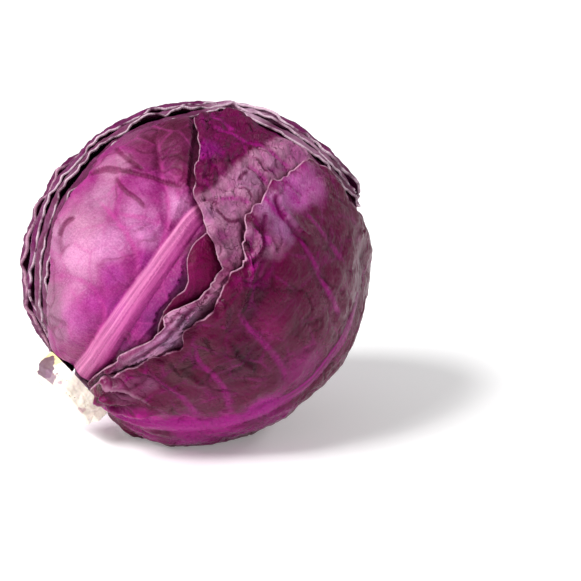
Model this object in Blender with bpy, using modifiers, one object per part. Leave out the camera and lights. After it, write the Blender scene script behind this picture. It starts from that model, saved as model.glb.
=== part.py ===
"""A whole red cabbage head, lying on its side on a small flat spot, cut stalk down and to the left.

Every place on the head is a polar angle from the stalk's axis and an azimuth round it, both in degrees.
Azimuth 0 faces the front of the head. Each leaf is draped over what already lies on the head, so that
the leaves are separate closed solids with a little air between them.
"""

import math

import bmesh
import bpy
import numpy as np
from mathutils import Vector
from mathutils.bvhtree import BVHTree
from mathutils.geometry import delaunay_2d_cdt

MM = 0.001

# Driving dimensions
CENTRE_HEIGHT = 78.5 * MM
BLADE = 0.8 * MM
LEAF_GAP = 0.5 * MM
REST_RADIUS = 17.0 * MM

# How the head lies: the stalk points left, a little to the front and down
STALK_HEADING = math.radians(205.4)
STALK_DOWN = math.radians(37.1)
FRONT_LIFT = math.radians(15.0)

# The head with its leaves on, as its radius at each polar angle from the stalk
HEAD_ANGLES = (0, 12, 22, 45, 90, 135, 180)
HEAD_RADII = (74.0, 76.5, 79.5, 81.4, 79.6, 81.0, 87.0)
HEART_SEGMENTS = 38
HEART_RINGS = 21
LEAVES_GUESS = 5.0 * MM
FILL_OUT = 15.0 * MM
HEART_AIR = 0.9 * MM
BOTTOM_BLADE = 1.5 * MM

# The stalk: a cone that runs into the heart, and the cut stump that stands out of it
STALK_HALF_ANGLE = math.radians(12.0)
SOCKET_HALF_ANGLE = math.radians(12.9)
CORE_START = 22.0 * MM
SOCKET_START = 18.5 * MM
STUMP_START = 80.0 * MM
STUMP_END = 90.0 * MM
STUMP_RADIUS = 18.2 * MM
STUMP_BEVEL = 1.6 * MM
STALK_SIDES = 32
STUMP_CUT_TILT = math.radians(7.0)

# Leaf stubs left on the stump: azimuth, how far out, width, thickness, all in degrees or millimetres
STUBS = ((105, 13.0, 12.0, 6.0), (15, 13.5, 14.0, 5.0), (-98, 13.0, 13.0, 6.5), (-165, 13.0, 12.0, 5.5))
STUB_HEIGHT = 5.5 * MM

# The drape: how many samples the head's skin has, and how far a leaf keeps off an edge sideways
SKIN_POINTS = 9000
BRIDGE = 4.0 * MM
SOFTEN = 6.0 * MM
SETTLE_ROUNDS = 5
SKIN_RADIUS = 80.0 * MM

# Mesh of a leaf
LEAF_CELL = 11.0 * MM
MARGIN_CELL = 5.0 * MM
CURL_WIDTH = 12.0 * MM
RIB_STEP = 8.0 * MM
VEIN_WIDTH = (8.0, 6.5)
VEIN_HEIGHT = (2.1, 0.9)

# Leaf bases end on a ring round the stalk
BASE = 14.0

PURPLE = (0.20, 0.022, 0.085, 1)
MAGENTA = (0.42, 0.06, 0.24, 1)
DARK = (0.11, 0.018, 0.05, 1)
PITH = (0.86, 0.83, 0.70, 1)


def unit(v):
    return v / np.linalg.norm(v)


def head_axes():
    """The stalk's direction, the head's front and the third axis, which azimuth turns towards at the top."""
    level = math.cos(STALK_DOWN)
    across, forward = level * math.cos(STALK_HEADING), level * math.sin(STALK_HEADING)
    stalk = np.array((across, forward, -math.sin(STALK_DOWN)))
    front = np.array((0.0, -math.cos(FRONT_LIFT), math.sin(FRONT_LIFT)))
    front = unit(front - (front @ stalk) * stalk)
    return stalk, front, np.cross(stalk, front)


STALK, FRONT, SIDE = head_axes()
CENTRE = np.array((0.0, 0.0, CENTRE_HEIGHT))


def directions(places):
    """Unit vectors from the head's centre for (polar angle, azimuth) pairs in degrees."""
    polar, azimuth = np.radians([place[:2] for place in places]).T
    round_it = np.outer(np.cos(azimuth), FRONT) + np.outer(np.sin(azimuth), SIDE)
    return np.cos(polar)[:, None] * STALK + np.sin(polar)[:, None] * round_it


def even_directions(count):
    """Directions spread evenly over the sphere on a golden spiral."""
    i = np.arange(count) + 0.5
    z = 1 - 2 * i / count
    turn = math.pi * (1 + math.sqrt(5)) * i
    flat = np.sqrt(1 - z * z)
    return np.stack((flat * np.cos(turn), flat * np.sin(turn), z), axis=1)


def smooth(x):
    x = np.clip(x, 0, 1)
    return x * x * (3 - 2 * x)


def head_radius(dirs):
    """The finished head's round form, with its underside pressed flat."""
    polar = np.degrees(np.arccos(np.clip(dirs @ STALK, -1, 1)))
    spread = np.linspace(-9, 9, 7)
    radius = np.mean([np.interp(np.abs(polar + d), HEAD_ANGLES, HEAD_RADII) for d in spread], axis=0)
    return np.minimum(radius * MM, (CENTRE_HEIGHT - BOTTOM_BLADE + BLADE) / np.clip(-dirs[:, 2], 0.3, 1))


def blend(dirs, samples, values, reach):
    """The mean of the values of all samples within reach, weighted towards the nearest."""
    found = []
    for d in np.array_split(dirs, max(1, len(dirs) // 1000)):
        weight = np.clip(1 - (2 - 2 * d @ samples.T) / (reach / SKIN_RADIUS) ** 2, 0, None) ** 2
        found.append(weight @ values / weight.sum(axis=1))
    return np.concatenate(found)


class Skin:
    """The height of everything laid on the heart so far, sampled evenly round it."""

    def __init__(self, room, pressed):
        self.dirs = even_directions(SKIN_POINTS)
        self.room = room
        self.pressed = pressed
        self.pile = np.zeros(SKIN_POINTS)
        self.base = self.heart(self.dirs)

    def heart(self, dirs):
        """The heart's radius: it fills the round head as far as the leaves leave room."""
        return head_radius(dirs) - blend(dirs, self.dirs, self.room, SOFTEN)

    def bridged(self):
        """The highest pile within BRIDGE of each sample, so that a leaf clears every edge under it."""
        near = math.cos(BRIDGE / SKIN_RADIUS)
        spans = np.array_split(self.dirs, 12)
        return np.concatenate([np.where(d @ self.dirs.T > near, self.pile, 0).max(axis=1) for d in spans])

    def under(self, dirs, triangles):
        """The radius at which a sheet of triangles lies on the head without cutting into anything."""
        high = self.bridged()
        radius = self.heart(dirs) + blend(dirs, self.dirs, high, SOFTEN) + LEAF_GAP
        clear = self.base + high + LEAF_GAP
        for _ in range(SETTLE_ROUNDS):
            tree = BVHTree.FromPolygons([Vector(r * d) for r, d in zip(radius, dirs)], triangles)
            lack = np.zeros(len(dirs))
            for d, needed in zip(self.dirs, clear):
                _, _, face, found = tree.ray_cast(Vector((0, 0, 0)), Vector(d))
                if face is not None and found < needed:
                    corners = list(triangles[face])
                    lack[corners] = np.maximum(lack[corners], needed - found)
            radius += lack
        return radius

    def cover(self, bm):
        """Lay this mesh on the head."""
        tree = BVHTree.FromBMesh(bm)
        for i, d in enumerate(self.dirs):
            hit = tree.ray_cast(Vector(CENTRE + 2 * SKIN_RADIUS * d), Vector(-d), 1.9 * SKIN_RADIUS)[0]
            if hit is not None:
                self.pile[i] = max(self.pile[i], (hit - Vector(CENTRE)).length - self.base[i])

    def evened(self):
        """The pile of leaves as a smooth thickness all round the head."""
        return blend(self.dirs, self.dirs, self.pile, FILL_OUT)


class Chart:
    """A flat map of the head round one leaf's middle: angular distance from it, by bearing."""

    def __init__(self, middle):
        self.middle = directions([middle])[0]
        self.tip = unit(-STALK - (-STALK @ self.middle) * self.middle)
        self.cross = np.cross(self.tip, self.middle)

    def flat(self, dirs):
        along, across = dirs @ self.tip, dirs @ self.cross
        reach = np.arccos(np.clip(dirs @ self.middle, -1, 1))
        scale = reach / np.maximum(np.hypot(along, across), 1e-9)
        return np.stack((across * scale, along * scale), axis=1)

    def round(self, flat):
        reach = np.hypot(*flat.T)
        scale = np.sin(reach) / np.maximum(reach, 1e-9)
        return np.cos(reach)[:, None] * self.middle + scale[:, None] * (
            flat[:, :1] * self.cross + flat[:, 1:] * self.tip
        )


class Outline:
    """A leaf's margin as reach and lift by bearing, drawn smoothly through its control points."""

    def __init__(self, chart, points):
        flat = chart.flat(directions(points))
        bearing = np.arctan2(flat[:, 0], flat[:, 1])
        order = np.argsort(bearing)
        self.bearing = np.concatenate([bearing[order] + turn for turn in (-2 * math.pi, 0, 2 * math.pi)])
        self.reach = np.tile(np.hypot(*flat.T)[order], 3)
        lifts = [p[2] * MM if len(p) > 2 else 0 for p in points]
        self.lifts = np.tile(np.asarray(lifts)[order], 3)

    def eased(self, bearing, values):
        """Straight interpolation, rounded off over a few degrees."""
        spread = np.radians(np.linspace(-2.5, 2.5, 5))
        return np.mean([np.interp(bearing + d, self.bearing, values) for d in spread], axis=0)

    def edge(self, bearing):
        return self.eased(bearing, self.reach)

    def lift(self, bearing):
        return self.eased(bearing, self.lifts)


def along(dirs, step):
    """Directions about `step` metres apart on the path through these ones."""
    gaps = np.linalg.norm(np.diff(dirs, axis=0), axis=1) * SKIN_RADIUS
    length = np.concatenate(([0], np.cumsum(gaps)))
    at = np.linspace(0, length[-1], max(2, round(length[-1] / step) + 1))
    path = np.stack([np.interp(at, length, dirs[:, k]) for k in range(3)], axis=1)
    return path / np.linalg.norm(path, axis=1)[:, None], at / length[-1]


def ridge(dirs, path, width, height):
    """A rounded ridge along a path: width and height are (at the start, at the end)."""
    centre, share = along(directions(path), 2 * MM)
    gap = np.linalg.norm(dirs[:, None] - centre[None], axis=2) * SKIN_RADIUS
    nearest = gap.argmin(axis=1)
    share = share[nearest]
    half = np.interp(share, (0, 1), width) / 2
    return np.interp(share, (0, 1), height) * np.clip(1 - (gap.min(axis=1) / half) ** 2, 0, None)


def strips(leaf):
    """The rib and the veins of a leaf: path, width and height, from start to end."""
    yield leaf["rib"], np.asarray(leaf["rib_width"]) * MM, np.asarray(leaf["rib_height"]) * MM
    for path in leaf["veins"]:
        yield path, np.asarray(VEIN_WIDTH) * MM, np.asarray(VEIN_HEIGHT) * MM


def relief(dirs, leaf):
    """Rib and veins, as height above the blade."""
    return np.max([ridge(dirs, path, width, height) for path, width, height in strips(leaf)], axis=0)


def strip_points(leaf):
    """Points along the crests of the rib and veins, then along the feet on both sides."""
    crests, feet = [], []
    for path, width, _ in strips(leaf):
        crest, share = along(directions(path), RIB_STEP)
        sideways = np.cross(crest, np.gradient(crest, axis=0))
        sideways /= np.linalg.norm(sideways, axis=1)[:, None]
        half = np.interp(share, (0, 1), width)[:, None] / (2 * SKIN_RADIUS)
        crests.append(crest)
        feet += [crest + half * sideways, crest - half * sideways]
    points = np.vstack(crests + feet)
    return points / np.linalg.norm(points, axis=1)[:, None]


def rest_ring():
    """The rim of the flat spot under the head."""
    turn = np.linspace(0, 2 * math.pi, 17)[:-1]
    flat = REST_RADIUS * np.stack((np.cos(turn), np.sin(turn)), axis=1)
    down = np.column_stack((flat, np.full(len(turn), -CENTRE_HEIGHT)))
    return down / np.linalg.norm(down, axis=1)[:, None]


def on_the_ground(dirs):
    """Whether these directions meet the flat spot, its rim included."""
    slant = np.hypot(dirs[:, 0], dirs[:, 1]) / np.clip(-dirs[:, 2], 0.3, 1)
    return (dirs[:, 2] < -0.3) & (slant * CENTRE_HEIGHT < REST_RADIUS + 0.1 * MM)


def leaf_points(chart, outline, leaf):
    """Points of the leaf on its chart: the margin first, then ribs and veins, then an even fill."""
    bearing = np.linspace(-math.pi, math.pi, 721)[:-1]
    reach = outline.edge(bearing)
    loop = np.stack((reach * np.sin(bearing), reach * np.cos(bearing)), axis=1)
    places = chart.round(np.vstack((loop, loop[:1])))
    margin = chart.flat(along(places, MARGIN_CELL)[0])[:-1]
    fill = even_directions(round(4 * math.pi * SKIN_RADIUS**2 / (0.866 * LEAF_CELL**2)))
    kept = list(chart.round(margin))
    for points, apart in ((rest_ring(), 0.3), (strip_points(leaf), 0.3), (fill, 0.62)):
        flat = chart.flat(points)
        inside = np.hypot(*flat.T) < outline.edge(np.arctan2(flat[:, 0], flat[:, 1]))
        for d in points[inside]:
            if np.linalg.norm(np.asarray(kept) - d, axis=1).min() * SKIN_RADIUS > apart * LEAF_CELL:
                kept.append(d)
    return np.asarray(kept), len(margin)


def leaf_mesh(leaf, skin):
    """One leaf: an even sheet of triangles on the skin, thickened outwards by blade, rib and veins."""
    chart = Chart(leaf["middle"])
    outline = Outline(chart, leaf["margin"])
    dirs, margin_count = leaf_points(chart, outline, leaf)
    flat = chart.flat(dirs)
    loop = list(range(margin_count))
    _, _, triangles, origin, _, _ = delaunay_2d_cdt([Vector(p) for p in flat], [], [loop], 1, 1e-6)
    triangles = [[origin[c][0] for c in corners] for corners in triangles]
    bearing = np.arctan2(flat[:, 0], flat[:, 1])
    inset = (outline.edge(bearing) - np.hypot(*flat.T)) * SKIN_RADIUS
    lift = outline.lift(bearing) * smooth(1 - inset / CURL_WIDTH)
    low = skin.under(dirs, triangles) + lift
    high = low + BLADE + relief(dirs, leaf)
    if skin.pressed and leaf["name"] == LEAVES[-1]["name"]:
        ground = CENTRE_HEIGHT / np.clip(-dirs[:, 2], 0.3, 1)
        high = np.where(on_the_ground(dirs), ground, np.minimum(high, ground))

    bm = bmesh.new()
    number = bm.verts.layers.int.new("number")
    for i, (d, r) in enumerate(zip(dirs, low)):
        bm.verts.new(CENTRE + r * d)[number] = i
    bm.verts.ensure_lookup_table()
    for corners in triangles:
        bm.faces.new([bm.verts[c] for c in corners])
    raised = bmesh.ops.extrude_face_region(bm, geom=list(bm.faces), use_keep_orig=True)["geom"]
    for vert in raised:
        if isinstance(vert, bmesh.types.BMVert):
            i = vert[number]
            vert.co = CENTRE + high[i] * dirs[i]
    bmesh.ops.recalc_face_normals(bm, faces=list(bm.faces))
    bmesh.ops.triangulate(bm, faces=list(bm.faces))
    skin.cover(bm)
    return bm


def material(name, colour, roughness):
    made = bpy.data.materials.get(name) or bpy.data.materials.new(name)
    made.use_nodes = True
    shader = made.node_tree.nodes["Principled BSDF"]
    shader.inputs["Base Color"].default_value = colour
    shader.inputs["Roughness"].default_value = roughness
    return made


def add_mesh(name, bm, colour, roughness=0.38):
    mesh = bpy.data.meshes.new(name)
    bm.to_mesh(mesh)
    bm.free()
    mesh.shade_smooth()
    mesh.set_sharp_from_angle(angle=math.radians(50))
    made = bpy.data.objects.new(name, mesh)
    made.data.materials.append(material(f"{name}_finish", colour, roughness))
    bpy.data.collections["cabbage_head"].objects.link(made)
    return made


def axis_matrix():
    """Turns +Z to the stalk's direction and moves the origin to the head's centre."""
    turn = Vector(STALK).to_track_quat("Z", "Y").to_matrix().to_4x4()
    turn.translation = Vector(CENTRE)
    return turn


def make_heart(skin):
    """The tight head of folded inner leaves, with a tapering socket where the stalk runs into it."""
    bm = bmesh.new()
    bmesh.ops.create_uvsphere(bm, u_segments=HEART_SEGMENTS, v_segments=HEART_RINGS, radius=1)
    bmesh.ops.transform(bm, matrix=axis_matrix().to_3x3(), verts=bm.verts)
    dirs = np.array([v.co for v in bm.verts])
    for vert, d, r in zip(bm.verts, dirs, skin.heart(dirs) - HEART_AIR):
        vert.co = CENTRE + r * d
    heart = add_mesh("heart", bm, MAGENTA)
    bm = bmesh.new()
    length = STUMP_START - SOCKET_START
    bmesh.ops.create_cone(
        bm,
        cap_ends=True,
        segments=STALK_SIDES,
        radius1=SOCKET_START * math.tan(SOCKET_HALF_ANGLE),
        radius2=STUMP_START * math.tan(SOCKET_HALF_ANGLE),
        depth=length,
    )
    bmesh.ops.translate(bm, vec=(0, 0, SOCKET_START + length / 2), verts=bm.verts)
    cut = heart.modifiers.new("socket", "BOOLEAN")
    cut.operation = "DIFFERENCE"
    cut.object = cutter_object("stalk_socket", bm)


def cutter_object(name, bm):
    """A hidden solid in the stalk's own axes."""
    mesh = bpy.data.meshes.new(name)
    bm.to_mesh(mesh)
    bm.free()
    made = bpy.data.objects.new(name, mesh)
    made.matrix_world = axis_matrix()
    made.hide_render = True
    made.display_type = "WIRE"
    bpy.data.collections["cutters"].objects.link(made)
    return made


def turned_stalk():
    """The stalk's profile, turned: a cone inside the head and a short wide stump outside it."""
    profile = (
        (0.0, STUMP_END + STUMP_BEVEL),
        (STUMP_RADIUS - STUMP_BEVEL, STUMP_END + STUMP_BEVEL),
        (STUMP_RADIUS, STUMP_END - STUMP_BEVEL),
        (STUMP_RADIUS - STUMP_BEVEL / 2, STUMP_START),
        (STUMP_START * math.tan(STALK_HALF_ANGLE), STUMP_START - STUMP_BEVEL),
        (CORE_START * math.tan(STALK_HALF_ANGLE), CORE_START),
        (0.0, CORE_START - STUMP_BEVEL),
    )
    mesh = bpy.data.meshes.new("stalk")
    mesh.from_pydata([(r, 0, z) for r, z in profile], [(i, i + 1) for i in range(len(profile) - 1)], [])
    stalk = bpy.data.objects.new("stalk", mesh)
    stalk.matrix_world = axis_matrix()
    turn = stalk.modifiers.new("turn", "SCREW")
    turn.steps = turn.render_steps = STALK_SIDES
    turn.use_merge_vertices = True
    turn.merge_threshold = 0.00001
    bpy.data.collections["cabbage_head"].objects.link(stalk)
    stalk.data.materials.append(material("stalk_finish", PITH, 0.6))
    return stalk


def make_stalk():
    """The stalk with the bases of the trimmed leaves left round its stump, cut off with a slight slant."""
    stalk = turned_stalk()
    turn = axis_matrix().to_3x3()
    for i, (azimuth, out, width, thick) in enumerate(STUBS):
        bm = bmesh.new()
        bmesh.ops.create_uvsphere(bm, u_segments=14, v_segments=8, radius=1)
        around = turn.inverted() @ Vector(directions([(90, azimuth)])[0])
        heading = math.atan2(around.y, around.x)
        bmesh.ops.scale(bm, vec=(thick * MM, width * MM, STUB_HEIGHT), verts=bm.verts)
        bmesh.ops.translate(bm, vec=(out * MM, 0, STUMP_START + STUB_HEIGHT), verts=bm.verts)
        spin = Vector((math.cos(heading), math.sin(heading), 0)).to_track_quat("X", "Z").to_matrix()
        bmesh.ops.rotate(bm, cent=(0, 0, 0), matrix=spin, verts=bm.verts)
        grow = stalk.modifiers.new(f"stub_{i + 1}", "BOOLEAN")
        grow.operation = "UNION"
        grow.object = cutter_object(f"stub_{i + 1}", bm)
    bm = bmesh.new()
    bmesh.ops.create_cube(bm, size=STUMP_END)
    bmesh.ops.translate(bm, vec=(0, 0, STUMP_END / 2), verts=bm.verts)
    across_cut = Vector((math.sin(STUMP_CUT_TILT), 0, math.cos(STUMP_CUT_TILT)))
    slant = across_cut.to_track_quat("Z", "Y").to_matrix()
    bmesh.ops.rotate(bm, cent=(0, 0, 0), matrix=slant, verts=bm.verts)
    bmesh.ops.translate(bm, vec=(0, 0, STUMP_END), verts=bm.verts)
    trim = stalk.modifiers.new("trim", "BOOLEAN")
    trim.operation = "DIFFERENCE"
    trim.object = cutter_object("stump_cut", bm)


# The leaves from the inside out. A margin point is its polar angle and azimuth in degrees, and how far in
# millimetres the margin stands off there.
LEAVES = (
    {
        "name": "leaf_front",
        "colour": MAGENTA,
        "middle": (84, 8),
        "margin": (
            (BASE, 50), (BASE, 25), (BASE, 0), (BASE, -24), (32, -30), (62, -32), (96, -32), (126, -28),
            (143, -14), (149, 5), (145, 30), (133, 50), (114, 61), (88, 66), (58, 66), (32, 62),
        ),
        "rib": ((BASE + 1, -1), (33, 0), (49, 3), (61, 5), (73, 7), (83, 9), (92, 11), (110, 12), (130, 12)),
        "rib_width": (15, 6),
        "rib_height": (3.0, 0.8),
        "veins": (
            ((84, 12.7), (90, 20.7), (95, 27.4), (101.4, 37.7), (108, 49)),
            ((63, 7), (70.5, 11.5), (74, 20), (76, 28), (77, 37), (78.6, 47)),
            ((45, 5), (52, 11), (55, 17.5), (56, 24), (53.5, 32), (49, 42)),
        ),
    },
    {
        "name": "leaf_lobe",
        "colour": DARK,
        "middle": (80, -34),
        "margin": (
            (BASE, -24), (28, -22), (45, -18), (56, -12), (63, -6.5, 0.4), (66.5, -4.5, 1.7),
            (71.5, -4, 0.8), (75, -4, 1.4), (78.7, -2.1, 0.8), (81, 1, 1.2), (84, 4, 2.0),
            (88, 4.8, 1.0), (92, 5, 0.4), (102, 2), (120, -8), (134, -22), (139, -42), (133, -58),
            (116, -66), (92, -68), (60, -66), (34, -62), (BASE, -56), (BASE, -40),
        ),
        "rib": ((BASE + 1, -38), (45, -38), (80, -36), (115, -34)),
        "rib_width": (13, 5),
        "rib_height": (0.8, 0.3),
        "veins": (),
    },
    {
        "name": "leaf_upper",
        "colour": PURPLE,
        "middle": (100, -30),
        "margin": (
            (BASE, -12), (29, -7.2, 0.8), (40, -7.2, 1.4), (46, -6.7, 0.8), (52, -8.6, 1.9),
            (56, -10, 0.8), (60.7, -8.7, 2.3), (64.5, -8, 1.2), (66.5, -6, 2.7), (70.3, -6.7, 1.5),
            (74.3, -8.6, 3.2), (78, -9.8, 1.6), (82, -9.2, 3.4), (85.4, -8.7, 1.9), (88.6, -6.6, 3.4),
            (89.8, -2.5, 2.0), (91.8, 1.8, 3.2), (94.1, 5.2, 2.0), (95.3, 9.5, 2.7), (97.6, 15.5, 1.1),
            (101.2, 19.1, 1.2), (103.7, 23.4, 0.8), (108.3, 27.1, 1.1), (114.5, 34.5, 0.8), (122, 50),
            (132, 66), (148, 72), (160, 50), (163, -5), (156, -48), (142, -68), (120, -78), (92, -82),
            (60, -80), (34, -76), (BASE, -72), (BASE, -52), (BASE, -32),
        ),
        "rib": ((BASE + 1, -48), (50, -52), (90, -54), (130, -52), (152, -44)),
        "rib_width": (13, 5),
        "rib_height": (0.8, 0.4),
        "veins": (
            ((140, -8), (135, 2), (130, 18), (123, 30), (117, 41)),
            ((122, -6), (120, 3), (119, 9), (118, 15)),
        ),
    },
    {
        "name": "leaf_side_1",
        "colour": PURPLE,
        "middle": (94, 118),
        "margin": (
            (BASE, 72), (19, 52, 0.5), (31, 42.5, 1.2), (41, 44, 0.7), (50, 48, 1.8), (58, 51.5, 0.7),
            (64, 53.5, 1.7), (73, 54, 0.6), (81, 52.5, 1.7), (85, 55.5, 0.7), (91, 56, 1.8),
            (98, 55.7, 0.7), (105, 54, 1.7), (113, 52, 0.6), (120, 48.5, 1.3), (128, 51, 0.6),
            (137, 48.5, 1.4), (139, 39, 0.5), (141, 28, 1.2), (144, 20, 0.5), (146.5, 9.4, 1.2),
            (149.3, -2, 0.7), (150, -14.5, 1.2), (153, -50, 0.5), (156, -110), (147, 176), (126, 156),
            (100, 148), (70, 146), (40, 142), (BASE, 138), (BASE, 116), (BASE, 94),
        ),
        "rib": ((BASE + 1, 106), (50, 106), (90, 106), (125, 104)),
        "rib_width": (13, 5),
        "rib_height": (0.8, 0.3),
        "veins": (),
    },
    {
        "name": "leaf_back",
        "colour": PURPLE,
        "middle": (88, -154),
        "margin": (
            (BASE, 166), (30, 152), (52, 144), (80, 142), (106, 146), (130, 158), (147, 178, 0.4),
            (152, -150, 0.6), (147, -120, 1.0), (134, -106, 0.6), (112, -102, 0.4), (90, -104),
            (64, -112), (38, -118), (BASE, -124), (BASE, -144), (BASE, -168),
        ),
        "rib": ((BASE + 1, -152), (45, -154), (85, -156), (125, -156), (140, -154)),
        "rib_width": (15, 5),
        "rib_height": (2.6, 0.7),
        "veins": (
            ((52, -158), (62, -172), (76, 176), (94, 168)),
            ((84, -160), (98, -172), (112, 178), (126, 172)),
            ((66, -150), (78, -138), (92, -126), (106, -116)),
            ((98, -152), (110, -140), (122, -126)),
        ),
    },
    {
        "name": "leaf_side_2",
        "colour": PURPLE,
        "middle": (92, 116),
        "margin": (
            (BASE, 82), (26, 58, 0.8), (36, 53, 1.7), (46, 56, 0.6), (54, 58, 1.8), (63, 61, 0.6),
            (71, 62, 2.0), (80, 60, 0.8), (88, 63, 1.8), (97, 62, 0.6), (106, 61, 1.7), (115, 58, 0.6),
            (124, 57, 1.5), (133, 57, 0.6), (141, 54, 1.4), (146, 42, 0.6), (148.5, 26, 1.4),
            (152, 10, 0.5), (154, -6, 1.4), (157, -30, 0.6), (162, -70, 0.6), (160, -130, 0.4),
            (147, 178), (122, 164), (90, 156), (56, 152), (30, 148), (BASE, 144), (BASE, 122),
            (BASE, 102),
        ),
        "rib": ((BASE + 1, 114), (50, 115), (90, 116), (130, 118)),
        "rib_width": (13, 5),
        "rib_height": (0.8, 0.3),
        "veins": (),
    },
    {
        "name": "leaf_side_3",
        "colour": PURPLE,
        "middle": (86, 128),
        "margin": (
            (BASE, 96), (28, 72, 0.8), (40, 67, 2.0), (50, 66, 0.8), (58, 69, 2.1), (68, 70, 0.8),
            (78, 71, 2.1), (88, 72, 0.8), (98, 71, 2.0), (108, 70, 0.7), (118, 68, 1.8), (128, 66, 0.6),
            (138, 65, 1.5), (147, 60, 0.6), (153, 42, 1.5), (156.5, 18, 0.6), (159.5, -10, 1.4),
            (162, -60, 0.6), (157, -120, 0.6), (144, -164, 0.5), (124, 178), (98, 168), (68, 164),
            (40, 160), (BASE, 152), (BASE, 134), (BASE, 114),
        ),
        "rib": ((BASE + 1, 132), (45, 134), (85, 137), (120, 140), (140, 144)),
        "rib_width": (14, 5),
        "rib_height": (0.8, 0.7),
        "veins": (
            ((60, 134), (74, 122), (88, 108), (100, 96)),
            ((96, 138), (110, 126), (122, 112), (132, 96)),
            ((112, 142), (124, 156), (134, 176)),
        ),
    },
    {
        "name": "leaf_outer",
        "colour": DARK,
        "middle": (76, 136),
        "margin": (
            (BASE, 100), (26, 84, 1.1), (38, 79, 2.6), (48, 80, 1.1), (57, 83, 3.0), (67, 84, 1.1),
            (77, 82, 2.9), (88, 84, 1.1), (98, 86, 2.6), (109, 90, 1.1), (119, 98, 2.4),
            (128, 111, 1.0), (134, 128, 2.2), (133, 148, 1.0), (126, 163, 2.2), (113, 171, 1.0),
            (98, 174, 1.9), (80, 174, 1.0), (61, 172, 1.7), (42, 170, 0.7), (25, 165), (BASE, 160),
            (BASE, 140), (BASE, 120),
        ),
        "rib": ((BASE + 1, 132), (40, 134), (70, 137), (100, 140), (124, 144)),
        "rib_width": (16, 5),
        "rib_height": (2.4, 0.8),
        "veins": (
            ((44, 140), (53, 154), (66, 166), (82, 176)),
            ((66, 142), (78, 154), (92, 166), (106, 176)),
            ((50, 130), (60, 116), (72, 104), (84, 96)),
            ((74, 133), (86, 122), (98, 112), (110, 104)),
        ),
    },
    {
        "name": "leaf_lower",
        "colour": DARK,
        "middle": (82, -72),
        "margin": (
            (BASE, -22), (30, -11, 0.8), (38, -12.6, 2.0), (47, -14, 0.8), (54, -16, 2.3),
            (60, -17.5, 1.1), (64, -17, 2.7), (70, -14, 1.2), (76, -13.5, 3.0), (82, -13.3, 1.6),
            (88, -11, 3.6), (93, -10.6, 2.3), (96.5, -10, 4.6), (98.5, -4, 2.7), (103, -0.3, 4.3),
            (109, 0.3, 1.9), (114, 2.2, 3.8), (119.7, 2.2, 1.6), (124, 2.4, 3.6), (131, 2.4, 1.4),
            (137, 1.5, 3.2), (141, -2.5, 1.9), (144.6, -12.5, 2.8), (147, -28, 1.2), (148, -50, 2.4),
            (145, -74, 1.1), (139, -96, 2.3), (128, -116, 0.9), (112, -130, 1.9), (96, -140, 0.7),
            (76, -146, 0.4), (54, -148), (34, -140), (BASE, -124), (BASE, -98), (BASE, -72),
            (BASE, -46),
        ),
        "rib": ((BASE + 1, -58), (32, -55), (56, -56), (76, -58), (90, -58), (112, -58), (134, -54)),
        "rib_width": (14, 5),
        "rib_height": (2.2, 0.8),
        "veins": (
            ((62, -54), (63.5, -37), (64, -26), (69, -18.5), (75, -15)),
            ((86, -52), (84.5, -33), (86, -21), (91, -13.5)),
            ((50, -62), (60, -78), (74, -92), (90, -104)),
            ((72, -64), (84, -80), (98, -94), (112, -104)),
        ),
    },
)


def make_head():
    trial = Skin(np.full(SKIN_POINTS, LEAVES_GUESS), False)
    for leaf in LEAVES:
        leaf_mesh(leaf, trial).free()
    skin = Skin(trial.evened(), True)
    make_heart(skin)
    for leaf in LEAVES:
        add_mesh(leaf["name"], leaf_mesh(leaf, skin), leaf["colour"])
    make_stalk()


def clear_scene():
    for thing in list(bpy.data.objects):
        bpy.data.objects.remove(thing)
    for name in ("cabbage_head", "cutters"):
        made = bpy.data.collections.new(name)
        bpy.context.scene.collection.children.link(made)


clear_scene()
make_head()
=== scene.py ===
"""A whole red cabbage head on its side: the looks of its leaves and cut stalk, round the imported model."""

import math

import bpy
import numpy as np
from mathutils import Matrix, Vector, noise
from mathutils.bvhtree import BVHTree


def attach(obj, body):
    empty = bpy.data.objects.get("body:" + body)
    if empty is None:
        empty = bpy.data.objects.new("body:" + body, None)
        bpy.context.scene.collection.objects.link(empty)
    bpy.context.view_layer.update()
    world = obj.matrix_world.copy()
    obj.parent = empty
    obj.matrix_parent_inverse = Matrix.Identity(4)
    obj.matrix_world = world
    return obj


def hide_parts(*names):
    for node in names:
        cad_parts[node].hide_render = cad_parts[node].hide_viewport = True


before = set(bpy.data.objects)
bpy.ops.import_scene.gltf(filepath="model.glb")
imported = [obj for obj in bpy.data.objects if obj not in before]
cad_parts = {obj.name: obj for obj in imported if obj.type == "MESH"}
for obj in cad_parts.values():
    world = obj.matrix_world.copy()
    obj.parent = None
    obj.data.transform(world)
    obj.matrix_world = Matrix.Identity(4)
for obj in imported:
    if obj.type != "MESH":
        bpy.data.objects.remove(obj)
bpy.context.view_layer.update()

MM = 0.001


# The studio: a matt white floor under a broad soft sun from the upper left, a small key light in front and
# a rim light behind. A long lens looks from 15 degrees above the level, as the photograph was taken.

HEAD_CENTRE = np.array((0.0, 0.0, 78.5 * MM))
CAMERA_ELEVATION = math.radians(15)
LENS_MM = 100.0
SENSOR_MM = 36.0
FRAME_PIXELS = 581
PIXELS_PER_MM = 2.045
HEAD_PIXEL = (197.5, 273.0)

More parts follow.
